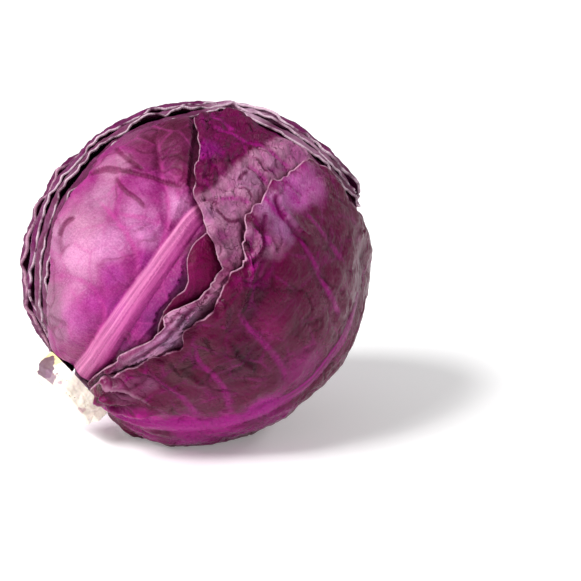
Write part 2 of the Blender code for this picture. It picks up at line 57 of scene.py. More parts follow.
focal_pixels = LENS_MM / SENSOR_MM * FRAME_PIXELS
camera_distance = focal_pixels / PIXELS_PER_MM * MM
view_up = np.array((0, math.sin(CAMERA_ELEVATION), math.cos(CAMERA_ELEVATION)))
view_back = np.array((0, -math.cos(CAMERA_ELEVATION), math.sin(CAMERA_ELEVATION)))
aside = (FRAME_PIXELS / 2 - HEAD_PIXEL[0]) / focal_pixels * camera_distance
above = (HEAD_PIXEL[1] - FRAME_PIXELS / 2) / focal_pixels * camera_distance
camera = bpy.data.objects.new("camera", bpy.data.cameras.new("camera"))
camera.location = HEAD_CENTRE + aside * np.array((1, 0, 0)) + above * view_up + camera_distance * view_back
camera.rotation_euler = (math.radians(90) - CAMERA_ELEVATION, 0, 0)
camera.data.lens = LENS_MM
camera.data.sensor_width = SENSOR_MM
bpy.context.scene.collection.objects.link(camera)
bpy.context.scene.camera = camera


def linear(hex_code):
    """An sRGB hex colour as the linear colour that a shader takes."""
    parts = [int(hex_code[i : i + 2], 16) / 255 for i in (1, 3, 5)]
    return [c / 12.92 if c <= 0.04045 else ((c + 0.055) / 1.055) ** 2.4 for c in parts] + [1.0]


def add_node(tree, kind, settings=None, **links):
    """A shader node with its settings, and its inputs either linked from another node's output or set."""
    made = tree.nodes.new("ShaderNode" + kind)
    for key, value in (settings or {}).items():
        setattr(made, key, value)
    for key, value in links.items():
        socket = made.inputs[int(key[2:])] if key.startswith("in") else made.inputs[key.replace("_", " ")]
        if isinstance(value, bpy.types.NodeSocket):
            tree.links.new(value, socket)
        else:
            socket.default_value = value
    return made.outputs


def empty_material(name):
    made = bpy.data.materials.new(name)
    made.use_nodes = True
    made.node_tree.nodes.clear()
    return made, made.node_tree


def studio_light(name, place, size, watts):
    data = bpy.data.lights.new(name, "AREA")
    data.size = size
    data.energy = watts
    lamp = bpy.data.objects.new(name, data)
    lamp.location = place
    lamp.rotation_euler = Vector(HEAD_CENTRE - np.array(place)).to_track_quat("-Z", "Y").to_euler()
    bpy.context.scene.collection.objects.link(lamp)


studio_light("key_light", (-0.50, -0.75, 0.95), 0.22, 4.0)
studio_light("rim_light", (0.75, 0.30, 0.55), 0.25, 2.0)
sun = bpy.data.objects.new("sky_panel", bpy.data.lights.new("sky_panel", "SUN"))
sun.data.energy = 3.1
sun.data.angle = math.radians(26)
sun.rotation_euler = Vector((0.80, 0.52, -0.95)).to_track_quat("-Z", "Y").to_euler()
bpy.context.scene.collection.objects.link(sun)

world = bpy.data.worlds.new("studio")
world.use_nodes = True
world.node_tree.nodes["Background"].inputs["Color"].default_value = (1, 1, 1, 1)
world.node_tree.nodes["Background"].inputs["Strength"].default_value = 0.30
bpy.context.scene.world = world
bpy.context.scene.view_settings.view_transform = "Standard"

FLOOR_SIZE = 14.0
floor_mesh = bpy.data.meshes.new("floor")
half = FLOOR_SIZE / 2
floor_corners = [(-half, -half, 0), (half, -half, 0), (half, half, 0), (-half, half, 0)]
floor_mesh.from_pydata(floor_corners, [], [(0, 1, 2, 3)])
floor = bpy.data.objects.new("floor", floor_mesh)
bpy.context.scene.collection.objects.link(floor)
floor_paint, tree = empty_material("matt_white_floor")
paint = add_node(
    tree, "BsdfPrincipled", Base_Color=linear("#FBFBFB"), Roughness=0.9,
    Emission_Color=(1, 1, 1, 1), Emission_Strength=0.22,
)
add_node(tree, "OutputMaterial", Surface=paint[0])
floor_mesh.materials.append(floor_paint)


# The heart: the tight mass of folded inner leaves. Only slits of it show, deep between the leaves at the
# stalk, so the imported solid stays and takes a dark, moist leaf colour with the fine streaks of folds.

heart_leaf, tree = empty_material("folded_inner_leaf")
place = add_node(tree, "TexCoord")[3]
FOLD_MM = 3.5
folds = add_node(tree, "TexNoise", Vector=place, Scale=1000 / FOLD_MM, Detail=4.0)
mix = {"data_type": "RGBA"}
tint = add_node(tree, "Mix", mix, in0=folds[0], in6=linear("#4E0E38"), in7=linear("#94307A"))
relief = add_node(tree, "Bump", Height=folds[0], Distance=0.4 * MM, Strength=0.6)
skin = add_node(tree, "BsdfPrincipled", Base_Color=tint[2], Roughness=0.45, Normal=relief[0])
add_node(tree, "OutputMaterial", Surface=skin[0])
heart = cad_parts["heart"]
heart.data.materials.clear()
heart.data.materials.append(heart_leaf)


# The front leaf: the large magenta leaf with the broad pale rib. Every leaf is a living blade well under a
# millimetre thick at its margin, stretched smooth over the head and quilted between its raised veins.

STALK_HEADING = math.radians(205.4)
STALK_DOWN = math.radians(37.1)
SKIN_RADIUS = 80.0
BASE = 14.0  # degrees from the stalk's axis, where every leaf starts
NOISE_SEED = 11
noise.seed_set(NOISE_SEED)
CAST_REACH = 0.13  # metres from the head's centre, past every packed leaf
HIDDEN_RADIUS_MM = 200.0
LEAF_GAP_MM = 0.3
RIM_MM = 0.45
BLADE_MM = 0.5
BLADE_SWELL_MM = 0.25
VEIN_NET_MM = 0.55
HEM_MM = 8.0
FREE_POLAR = 20  # degrees from the stalk's axis, inside which no margin is ruffled
UNDERSIDE_RINGS = (0, 1, 2, 4, 7, 11, 17, 26, 38, 52, 66)


def unit(v):
    return v / np.linalg.norm(v)


stalk_axis = np.array((
    math.cos(STALK_DOWN) * math.cos(STALK_HEADING),
    math.cos(STALK_DOWN) * math.sin(STALK_HEADING),
    -math.sin(STALK_DOWN),
))
front_axis = unit(view_back - (view_back @ stalk_axis) * stalk_axis)
side_axis = np.cross(stalk_axis, front_axis)


def directions(places):
    """Unit vectors from the head's centre for (polar angle from the stalk, azimuth) pairs in degrees."""
    polar, azimuth = np.radians([place[:2] for place in places]).T
    round_it = np.outer(np.cos(azimuth), front_axis) + np.outer(np.sin(azimuth), side_axis)
    return np.cos(polar)[:, None] * stalk_axis + np.sin(polar)[:, None] * round_it


def even_directions(count):
    """Directions spread evenly over the sphere on a golden spiral."""
    i = np.arange(count) + 0.5
    z = 1 - 2 * i / count
    turn = math.pi * (1 + math.sqrt(5)) * i
    flat = np.sqrt(1 - z * z)
    return np.stack((flat * np.cos(turn), flat * np.sin(turn), z), axis=1)


def smooth(x):
    x = np.clip(x, 0, 1)
    return x * x * (3 - 2 * x)


def waves(places, size_mm, seed, octaves=1):
    """Smooth noise from about -1 to 1 at these directions, with bumps of this size on the head's skin."""
    scale = SKIN_RADIUS / size_mm
    shift = Vector((seed * 7.3, seed * 3.1, seed * 5.7))
    return np.array([noise.fractal(Vector(p) * scale + shift, 0.9, 2.0, octaves) for p in places])


class Chart:
    """A flat map of the head round one leaf's middle: angular distance from it, by bearing."""

    def __init__(self, middle):
        self.middle = directions([middle])[0]
        self.tip = unit(-stalk_axis - (-stalk_axis @ self.middle) * self.middle)
        self.cross = np.cross(self.tip, self.middle)

    def flat(self, dirs):
        along, across = dirs @ self.tip, dirs @ self.cross
        reach = np.arccos(np.clip(dirs @ self.middle, -1, 1))
        scale = reach / np.maximum(np.hypot(along, across), 1e-9)
        return np.stack((across * scale, along * scale), axis=1)

    def round(self, flat):
        reach = np.hypot(*flat.T)
        scale = np.sin(reach) / np.maximum(reach, 1e-9)
        return np.cos(reach)[:, None] * self.middle + scale[:, None] * (
            flat[:, :1] * self.cross + flat[:, 1:] * self.tip
        )


def margin_reach(chart, points, bearing):
    """How far from its middle the leaf's margin lies at each bearing, drawn through its control points."""
    flat = chart.flat(directions(points))
    at = np.arctan2(flat[:, 0], flat[:, 1])
    order = np.argsort(at)
    knots = np.concatenate([at[order] + turn for turn in (-2 * math.pi, 0, 2 * math.pi)])
    reach = np.tile(np.hypot(*flat.T)[order], 3)
    spread = np.radians(np.linspace(-1.6, 1.6, 5))
    return np.mean([np.interp(bearing + d, knots, reach) for d in spread], axis=0)


MAP_CELL_MM = 1.6


def leaf_tree(*nodes):
    """One search tree over these packed leaves' meshes."""
    corners, faces = [], []
    for node in nodes:
        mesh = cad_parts[node].data
        faces += [[v + len(corners) for v in p.vertices] for p in mesh.polygons]
        corners += [Vector(v.co) for v in mesh.vertices]
    return BVHTree.FromPolygons(corners, faces)


class LeafMap:
    """A square grid over a leaf's chart, to soften what is measured on it and to read it anywhere."""

    def __init__(self, chart, reach):
        self.chart = chart
        self.step = MAP_CELL_MM / SKIN_RADIUS
        self.half = math.ceil(reach / self.step) + 3
        line = np.arange(-self.half, self.half + 1) * self.step
        across, up = np.meshgrid(line, line, indexing="ij")
        self.shape = across.shape
        self.dirs = chart.round(np.stack((across.ravel(), up.ravel()), axis=1))

    def measured(self, tree):
        """Radius in mm of the first surface outwards from the head's centre, not-a-number where none."""
        start = Vector(HEAD_CENTRE)
        cast = tree.ray_cast
        hits = [cast(start, Vector(d), CAST_REACH)[3] for d in self.dirs]
        return np.array([np.nan if hit is None else hit / MM for hit in hits]).reshape(self.shape)

    def softened(self, values, cells):
        """The mean of the known values over about this many cells, weighted towards the middle."""
        known = ~np.isnan(values)
        total, weight = np.where(known, values, 0.0), known.astype(float)
        offsets = range(-math.ceil(2.5 * cells), math.ceil(2.5 * cells) + 1)
        for axis in (0, 1):
            parts = [(np.roll(total, k, axis), np.roll(weight, k, axis), math.exp(-((k / cells) ** 2) / 2))
                     for k in offsets]
            total = sum(t * w for t, _, w in parts)
            weight = sum(t * w for _, t, w in parts)
        return total / np.maximum(weight, 1e-12), weight

    def filled(self, values):
        """Softened values, carried on smoothly beyond the leaf's margin."""
        near, known = self.softened(values, 2.2)
        wide, known_wide = self.softened(values, 6.0)
        widest, _ = self.softened(values, 18.0)
        return np.where(known > 0.5, near, np.where(known_wide > 0.05, wide, widest))

    def read(self, values, flat):
        place = np.clip(flat / self.step + self.half, 0, 2 * self.half - 1.001)
        corner = place.astype(int)
        u, v = (place - corner).T
        i, j = corner.T
        return ((values[i, j] * (1 - u) + values[i + 1, j] * u) * (1 - v)
                + (values[i, j + 1] * (1 - u) + values[i + 1, j + 1] * u) * v)


LEAF_ORDER = (
    "leaf_front", "leaf_lobe", "leaf_upper", "leaf_side_1", "leaf_back",
    "leaf_side_2", "leaf_side_3", "leaf_outer", "leaf_lower",
)


def along(places, step_mm=1.5):
    """A path through these places as closely spaced directions, with each one's share of its length."""
    dirs = directions(places)
    gaps = np.linalg.norm(np.diff(dirs, axis=0), axis=1) * SKIN_RADIUS
    length = np.concatenate(([0], np.cumsum(gaps)))
    at = np.linspace(0, length[-1], max(2, round(length[-1] / step_mm) + 1))
    soft = np.linspace(-3, 3, 5)
    near = [np.clip(at + s, 0, length[-1]) for s in soft]
    path = np.mean([[np.interp(a, length, dirs[:, k]) for k in range(3)] for a in near], axis=0).T
    return path / np.linalg.norm(path, axis=1)[:, None], at / length[-1]


def beside(dirs, places):
    """Signed distance in mm from a path, positive on its left, and the share of its length there."""
    crest, share = along(places)
    heading = np.gradient(crest, axis=0)
    nearest = np.concatenate([(d @ crest.T).argmax(axis=1) for d in np.array_split(dirs, 12)])
    apart = dirs - crest[nearest]
    left = np.einsum("ij,ij->i", np.cross(crest[nearest], heading[nearest]), apart)
    return np.linalg.norm(apart, axis=1) * SKIN_RADIUS * np.sign(left), share[nearest]


def cell_borders(dirs, size_mm, seed):
    """Distance in mm to the borders of irregular cells, the mesh that the smallest veins make."""
    rng = np.random.default_rng(seed)
    seeds = even_directions(round(4 * math.pi * (SKIN_RADIUS / size_mm) ** 2))
    seeds += rng.normal(0, 0.36 * size_mm / SKIN_RADIUS, seeds.shape)
    seeds /= np.linalg.norm(seeds, axis=1)[:, None]
    found = []
    for d in np.array_split(dirs, max(1, len(dirs) // 4000)):
        far = -np.partition(-(d @ seeds.T), 1, axis=1)[:, :2]
        one, two = (np.arccos(np.clip(far[:, k], -1, 1)) * SKIN_RADIUS for k in (0, 1))
        found.append((two - one) / 2)
    return np.abs(np.concatenate(found))


def ring_faces(rings, spokes, first, pole, turned):
    """Faces of a disc: a fan round its pole and rings of quads outwards. first is ring 1's first vertex."""
    faces = []
    for j in range(spokes):
        k = (j + 1) % spokes
        faces.append((pole, first + j, first + k))
        for i in range(rings - 1):
            a, b = first + i * spokes, first + (i + 1) * spokes
            faces.append((a + j, b + j, b + k, a + k))
    return [face[::-1] for face in faces] if turned else faces


LEAF_FIELDS = ("rib", "vein", "net", "bulge", "margin_mm", "crease", "fold", "shelter", "wrinkle")


def make_leaf(
    node, middle, margin, rib, rib_mm, veins, colour, washes=(), shade=None, creases=(), folds=(),
    vein_mm=(4.0, 2.2), vein_rise=0.8, quilt=1.6, quilt_mm=7.0, cells=0.5, cell_mm=11.0, crinkle=0.3,
    swell=0.5, wrinkles=0.4, wrinkle_mm=10.0, pleats=0.8, ruffle=1.0, rings=80, spokes=420, seed=1,
):
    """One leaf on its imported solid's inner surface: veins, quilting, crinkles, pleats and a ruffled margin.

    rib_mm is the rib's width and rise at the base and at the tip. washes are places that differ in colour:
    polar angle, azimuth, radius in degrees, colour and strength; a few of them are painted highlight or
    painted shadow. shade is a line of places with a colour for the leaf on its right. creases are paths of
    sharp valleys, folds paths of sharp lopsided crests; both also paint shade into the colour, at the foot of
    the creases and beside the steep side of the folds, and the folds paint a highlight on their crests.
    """
    chart = Chart(middle)
    bearing = np.linspace(-math.pi, math.pi, spokes, endpoint=False)
    reach = margin_reach(chart, margin, bearing)
    loop = chart.round(np.stack((reach * np.sin(bearing), reach * np.cos(bearing)), axis=1))
    loop_polar = np.degrees(np.arccos(np.clip(loop @ stalk_axis, -1, 1)))
    free = smooth((loop_polar - FREE_POLAR) / 12)
    ripple = 1.2 * waves(loop, 12.0, seed) + 0.7 * waves(loop, 5.0, seed + 3)
    ripple += 0.3 * waves(loop, 2.0, seed + 5)
    reach = reach + free * ruffle * ripple / SKIN_RADIUS
    share = 1 - (1 - np.linspace(0, 1, rings + 1)[1:]) ** 1.12
    far = np.outer(share, reach).ravel()
    turn = np.tile(bearing, rings)
    flat = np.vstack(([[0, 0]], np.stack((far * np.sin(turn), far * np.cos(turn)), axis=1)))
    dirs = chart.round(flat)
    inset = np.concatenate(([reach.mean()], np.outer(1 - share, reach).ravel())) * SKIN_RADIUS
    spoke = np.concatenate(([0], np.tile(np.arange(spokes), rings)))
    polar = np.degrees(np.arccos(np.clip(dirs @ stalk_axis, -1, 1)))
    azimuth = np.arctan2(dirs @ side_axis, dirs @ front_axis)

    leaf_map = LeafMap(chart, reach.max())
    low = leaf_map.read(leaf_map.filled(leaf_map.measured(leaf_tree(node))), flat)
    later = LEAF_ORDER[LEAF_ORDER.index(node) + 1 :]
    open_air = np.ones(len(dirs))
    shelter = np.zeros(len(dirs))
    roof = np.full(len(dirs), np.inf)
    if later:
        cover = leaf_map.measured(leaf_tree(*later))
        over, known = leaf_map.softened(cover, 1.0)
        roof = leaf_map.read(np.where(known > 0.05, over, HIDDEN_RADIUS_MM), flat) - LEAF_GAP_MM
        shown = leaf_map.softened(np.isnan(cover).astype(float), 1.6)[0]
        open_air = smooth((leaf_map.read(shown, flat) - 0.25) / 0.75)
        # Painted shade: this mask darkens the leaf where later leaves lie over it, along their margins.
        shelter = 1 - smooth((leaf_map.read(shown, flat) - 0.45) / 0.5)

    gap, at = beside(dirs, rib)
    rib_grain = np.stack((gap, at * 120.0, np.zeros(len(dirs))), axis=1)
    rib_width = rib_mm[0] + (rib_mm[2] - rib_mm[0]) * at
    ribs = np.clip(1 - (2 * gap / rib_width) ** 2, 0, 1) * smooth((1 - at) * 4)
    rib_rise = rib_mm[1] + (rib_mm[3] - rib_mm[1]) * at
    vein = np.zeros(len(dirs))
    nearest = np.abs(gap) - rib_width / 2
    for path in veins:
        gap, at = beside(dirs, path)
        width = vein_mm[0] + (vein_mm[1] - vein_mm[0]) * at
        fade = smooth(at * 5 + 0.3) * smooth((1 - at) * 4)
        vein = np.maximum(vein, np.exp(-((2 * gap / width) ** 2)) * fade)
        nearest = np.minimum(nearest, np.abs(gap) + 6 * (1 - fade))
    crease = np.zeros(len(dirs))
    lip = np.zeros(len(dirs))
    for path, width, depth in creases:
        gap, at = beside(dirs, path)
        fade = smooth(at * 5) * smooth((1 - at) * 5)
        lip += fade * depth * np.where(gap > 0, np.exp(-gap / (3 * width)), np.clip(1 + gap / 0.6, 0, 1))
        # This mask is painted shade: it darkens the colour in a narrow band at the foot of each of the
        # creases.
        crease = np.maximum(crease, fade * np.exp(-(((gap + 0.9) / (0.85 * width)) ** 2)) * min(1, depth))
    fold = np.zeros(len(dirs))
    for path, width, height in folds:
        gap, at = beside(dirs, path)
        half_width = np.where(gap > 0, width, 0.7)
        fade = smooth((1 - at) * 3)
        fold = np.maximum(fold, np.exp(-((gap / half_width) ** 2)) * height * fade)
        # Beside the steep side of each fold this mask paints shade too.
        crease = np.maximum(crease, 0.45 * height * fade * np.exp(-(((gap + 1.7) / 1.1) ** 2)))
    crease = np.minimum(crease, 1)

    bent = dirs + 0.03 * np.array([noise.noise_vector(Vector(d) * 5 + Vector((seed, 0, 0))) for d in dirs])
    bent /= np.linalg.norm(bent, axis=1)[:, None]
    border = cell_borders(bent, cell_mm, seed)
    net = np.exp(-((border / VEIN_NET_MM) ** 2)) * (1 - ribs)
    pillow = 1 - np.exp(-np.clip(nearest, 0, None) / quilt_mm)
    cell = smooth(border / (0.36 * cell_mm))
    small = waves(dirs, 4.6, seed + 21, 3)
    coarse = waves(dirs, 17.0, seed + 22)
    bends = waves(dirs, wrinkle_mm, seed + 23, 2)
    wrinkle = np.exp(-((bends / 0.07) ** 2)) * smooth(0.5 + 1.6 * waves(dirs, 15.0, seed + 24)) * (1 - ribs)
    places = list(zip(np.cos(azimuth), np.sin(azimuth), polar))
    radial = np.array([noise.noise(Vector((x * 7.5, y * 7.5, p / 60 + seed))) for x, y, p in places])
    near_stalk = smooth((50 - polar) / 30) * smooth((polar - 12) / 14)
    crumple = np.array([noise.noise(Vector((x * 17, y * 17, p / 14 + seed))) for x, y, p in places])
    crumple = 0.8 * np.abs(crumple)
    hem = smooth(1 - inset / HEM_MM) * free[spoke]
    curl = 0.35 + 1.5 * waves(loop, 11.0, seed + 31) + 0.7 * waves(loop, 4.2, seed + 32)
    frill = hem * ruffle * np.clip(curl, 0, None)[spoke] * (0.3 + 0.7 * open_air)
    detail = quilt * pillow + cells * cell * (1 - vein) + crinkle * (small + 0.55) + swell * (coarse + 0.6)
    detail -= wrinkles * wrinkle
    detail = detail * (1 - 0.85 * ribs) + pleats * near_stalk * (np.abs(radial) * 2.6 + crumple) + lip + fold
    detail = np.clip(detail, 0, None) * (0.35 + 0.65 * smooth(inset / 6))
    rise = ribs * rib_rise + vein_rise * vein * (1 - ribs) + 0.12 * net
    blade = BLADE_MM + BLADE_SWELL_MM * smooth(inset / 5)
    high = low + blade + (0.35 + 0.65 * open_air) * rise + (0.7 + 0.3 * open_air) * detail + frill
    high = np.minimum(high, np.maximum(roof, low + blade))
    ground = HEAD_CENTRE[2] / MM / np.clip(-dirs[:, 2], 0.3, None)
    on_ground = dirs[:, 2] < -0.3
    high = np.where(on_ground, np.minimum(high, ground), high)
    under = np.minimum(low + frill, high - RIM_MM)

    picks = [rings - k for k in UNDERSIDE_RINGS if rings - k > 1]
    below = np.concatenate([[0]] + [np.arange(spokes) + 1 + (k - 1) * spokes for k in reversed(picks)])
    points = np.vstack((dirs * high[:, None], dirs[below] * under[below][:, None]))
    top_count = len(dirs)
    rim_top = 1 + (rings - 1) * spokes
    rim_low = top_count + 1 + (len(picks) - 1) * spokes
    faces = ring_faces(rings, spokes, 1, 0, True)
    faces += ring_faces(len(picks), spokes, top_count + 1, top_count, False)
    for j in range(spokes):
        k = (j + 1) % spokes
        faces.append((rim_top + j, rim_top + k, rim_low + k, rim_low + j))
    mesh = bpy.data.meshes.new(f"{node}_blade")
    mesh.from_pydata((HEAD_CENTRE + points * MM).tolist(), [], faces)
    mesh.shade_smooth()

    paint = np.tile(linear(colour)[:3], (len(dirs), 1))
    if shade:
        gap, _ = beside(dirs, shade[0])
        tide = smooth(0.5 - (gap + 2.2 * small) / 5)
        paint += (tide * shade[2])[:, None] * (np.array(linear(shade[1])[:3]) - paint)
    for theta, phi, radius, hex_code, strength in washes:
        apart = np.degrees(np.arccos(np.clip(dirs @ directions([(theta, phi)])[0], -1, 1)))
        amount = strength * smooth(1.25 * (1 - (apart + 2.5 * coarse + 1.2 * small) / radius))
        paint += amount[:, None] * (np.array(linear(hex_code)[:3]) - paint)
    paint = np.hstack((np.clip(paint, 0, 1), np.ones((len(paint), 1))))
    # This mask paints light and shade: the colour turns paler on the pillow tops as painted highlight and
    # deeper in the valleys by the veins as painted shade.
    bulge = np.clip(pillow * 0.75 + 0.25 * cell + 0.35 * coarse, 0, 1)
    swing = (azimuth - math.radians(middle[1]) + math.pi) % (2 * math.pi) - math.pi
    grain = np.stack((swing * np.sin(np.radians(polar)) * SKIN_RADIUS, np.radians(polar) * SKIN_RADIUS,
                      np.full(len(dirs), seed * 37.0)), axis=1)
    layers = {"wash": ("FLOAT_COLOR", "color", paint), "grain_mm": ("FLOAT_VECTOR", "vector", grain),
              "rib_mm": ("FLOAT_VECTOR", "vector", rib_grain)}
    for key, values in zip(LEAF_FIELDS, (ribs, vein, net, bulge, inset, crease, fold, shelter, wrinkle)):
        layers[key] = ("FLOAT", "value", values)
    for key, (kind, part, values) in layers.items():
        layer = mesh.attributes.new(key, kind, "POINT")
        layer.data.foreach_set(part, np.concatenate((values, values[below])).astype(np.float32).ravel())
    piece = bpy.data.objects.new(f"{node}_blade", mesh)
    bpy.context.scene.collection.objects.link(piece)
    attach(piece, "root")
    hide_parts(node)
    return piece


def leaf_cuticle(
    name, vein, rib, rim, bloom, crest_highlight_share=0.5, valley_shade_share=0.6, bloom_share=0.3, vein_share=0.6,
    streaks=0.12, mottle=0.25, spots=0.25, roughness=0.32, wrinkle=0.3, kinked=0.3, saturation=1.15,
    ior=1.24,
):
    """Fresh cabbage leaf: purple pigment under a clear cuticle, pink veins, and grey wax bloom in patches.

    The wax is thin and matt, so it lightens and greys the leaf and scatters the gloss where it lies. The
    cuticle's IOR is about 1.45, and is brought down to match the leaf, whose fine wax dulls its reflections.
    Light and shade are painted into the colour too: paler pillow tops and the rib's lit side as painted
    highlight, deeper vein valleys, creases, furrows, covered parts and the rib's shaded side as painted
    shade, pale fold crests as painted highlight, and pale margins that are partly painted highlight.
    """
    made, tree = empty_material(name)
    grain = add_node(tree, "Attribute", {"attribute_name": "grain_mm"})[1]
    rib_place = add_node(tree, "Attribute", {"attribute_name": "rib_mm"})[1]
    wash = add_node(tree, "Attribute", {"attribute_name": "wash"})[0]
    product = {"operation": "MULTIPLY", "use_clamp": True}
    sum_of = {"operation": "MULTIPLY_ADD", "use_clamp": True}
    soft_step = {"interpolation_type": "SMOOTHSTEP"}
    stretch = {"operation": "MULTIPLY"}
    long_grain = add_node(tree, "VectorMath", stretch, in0=grain, in1=(1.0, 0.10, 1.0))[0]
    rib_grain = add_node(tree, "VectorMath", stretch, in0=rib_place, in1=(1.0, 0.03, 1.0))[0]
    field = {"rib_flank_shade": add_node(tree, "SeparateXYZ", Vector=rib_place)[0]}
    for key in LEAF_FIELDS:
        field[key] = add_node(tree, "Attribute", {"attribute_name": key})[2]
    for key, size_mm, detail, rough, vector in (
        ("blotch", 8.0, 5.0, 0.6, grain), ("streak", 1.3, 3.0, 0.55, long_grain),
        ("grit", 0.9, 3.0, 0.7, grain),
        ("crackle", 4.5, 2.0, 0.6, grain), ("haze", 13.0, 6.0, 0.7, grain), ("spot", 2.0, 5.0, 0.7, grain),
        ("relief", 1.7, 4.0, 0.62, grain), ("fibre", 1.6, 2.0, 0.55, rib_grain),
    ):
        pattern = {"Vector": vector, "Scale": 1 / size_mm, "Detail": detail, "Roughness": rough}
        field[key] = add_node(tree, "TexNoise", **pattern)[0]

    off_line = add_node(tree, "Math", {"operation": "SUBTRACT"}, in0=field["crackle"], in1=0.5)[0]
    off_line = add_node(tree, "Math", {"operation": "ABSOLUTE"}, in0=off_line)[0]
    kink = add_node(tree, "MapRange", soft_step, in0=off_line, in1=0.022, in2=0.0)[0]
    patchy = add_node(tree, "MapRange", soft_step, in0=field["blotch"], in1=0.42, in2=0.60)[0]
    field["kink"] = add_node(tree, "Math", product, in0=kink, in1=patchy)[0]
    field["wax"] = add_node(
        tree, "MapRange", soft_step, in0=field["haze"], in1=0.60 - 0.25 * bloom_share, in2=0.72,
        in4=bloom_share,
    )[0]
    # Painted shade: dark thin lines along the wrinkles and kinks, kept off the rib.
    furrow = add_node(tree, "Math", product, in0=field["wrinkle"], in1=0.6)[0]
    furrow = add_node(tree, "Math", sum_of, in0=field["kink"], in1=kinked, in2=furrow)[0]
    off_rib = add_node(tree, "Math", {"operation": "SUBTRACT"}, in0=1.0, in1=field["rib"])[0]
    field["furrow"] = add_node(tree, "Math", product, in0=furrow, in1=off_rib)[0]
    field["rib_fibre"] = add_node(tree, "Math", product, in0=field["fibre"], in1=field["rib"])[0]

    lighter = add_node(tree, "HueSaturation", Saturation=0.86, Value=1.55, Color=wash)[0]
    deeper = add_node(tree, "HueSaturation", Saturation=1.25, Value=0.55, Color=wash)[0]
    # Painted light across the rib: its left side keeps the pale rib colour as the lit side, and its right
    # side turns to the vein colour as the shaded side.
    rib_flank_shade = add_node(tree, "MapRange", soft_step, in0=field["rib_flank_shade"], in1=4.0, in2=-6.0)[0]
    rib_tint = add_node(tree, "Mix", mix, in0=rib_flank_shade, in6=linear(rib), in7=linear(vein))[2]
    # Each coat is a colour, how it blends, and what its share is the product of: a field, a number, or a
    # field's soft step between two values, with its least and most where those aren't 0 and 1.
    coloured = wash
    for tint, blend, *places in (
        (deeper, "MIX", ("blotch", 0.60, 0.36), mottle),
        # Painted highlight on the pillow tops, a paler copy of the leaf colour, and painted shade in the
        # valleys by the veins, a deeper copy.
        (lighter, "MIX", "bulge", ("blotch", 0.36, 0.68), crest_highlight_share),
        (deeper, "MIX", ("bulge", 0.45, 0.0), valley_shade_share),
        (lighter, "MIX", ("grit", 0.44, 0.70), 0.35),
        (deeper, "MIX", ("grit", 0.50, 0.30), 0.30),
        (linear(vein), "MIX", ("streak", 0.48, 0.68), streaks),
        (linear(vein), "MIX", "net", ("blotch", 0.35, 0.6), 0.35),
        (linear(vein), "MIX", ("vein", 0.1, 1.0), ("blotch", 0.35, 0.60, 0.4, 1.0), vein_share),
        (rib_tint, "MIX", ("rib", 0.02, 0.6), ("fibre", 0.38, 0.62, 0.35, 0.95)),
        (linear(bloom), "MIX", "wax"),
        (linear(bloom), "MIX", ("spot", 0.67, 0.75), spots),
        # Painted shade in the creases: the colour is darkened at their foot.
        (linear("#A04080"), "MULTIPLY", ("crease", 0.1, 0.9), 0.75),
        # Painted shade along the wrinkles and kinks.
        (linear("#A85888"), "MULTIPLY", "furrow"),
        # Painted shade under the margins of the leaves that cover this one.
        (linear("#7A3A60"), "MULTIPLY", "shelter", 0.85),
        # Painted highlight: a pale line along the crests of the folds.
        (linear(rim), "MIX", ("fold", 2.0, 3.3), 0.35),
        # The pale rim along the margin is partly the thin edge's own paler colour and partly painted
        # highlight, where the edge catches the light.
        (linear(rim), "MIX", ("margin_mm", 0.8, 0.2), ("blotch", 0.32, 0.58), 0.85),
    ):
        share = 1.0
        for place in places:
            if isinstance(place, tuple):
                key, low, high, least, most = place if len(place) == 5 else place + (0.0, 1.0)
                rise = {"in1": low, "in2": high, "in3": least, "in4": most}
                place = add_node(tree, "MapRange", soft_step, in0=field[key], **rise)[0]
            elif isinstance(place, str):
                place = field[place]
            share = add_node(tree, "Math", product, in0=share, in1=place)[0]
        coat = {"data_type": "RGBA", "blend_type": blend}
        coloured = add_node(tree, "Mix", coat, in0=share, in6=coloured, in7=tint)[2]
    coloured = add_node(tree, "HueSaturation", Saturation=saturation, Value=0.93, Color=coloured)[0]

    add_share = {"operation": "MULTIPLY_ADD"}
    height = field["relief"]
    for key, amount in (("kink", -0.9 * kinked), ("streak", 0.45), ("rib_fibre", 0.8)):
        height = add_node(tree, "Math", add_share, in0=field[key], in1=amount, in2=height)[0]
    bump = add_node(tree, "Bump", Height=height, Distance=wrinkle * MM * 2, Strength=1.0)
    uneven = add_node(
        tree, "MapRange", soft_step, in0=field["blotch"], in1=0.3, in2=0.7, in3=roughness,
        in4=roughness + 0.12,
    )[0]
    dull = add_node(tree, "Math", sum_of, in0=field["wax"], in1=0.35, in2=uneven)[0]
    shader = add_node(
        tree, "BsdfPrincipled", Base_Color=coloured, Roughness=dull, Normal=bump[0],
        IOR=ior, Subsurface_Weight=0.08, Subsurface_Radius=(1.0, 0.35, 0.6), Subsurface_Scale=1.0 * MM,
    )
    add_node(tree, "OutputMaterial", Surface=shader[0])
    return made


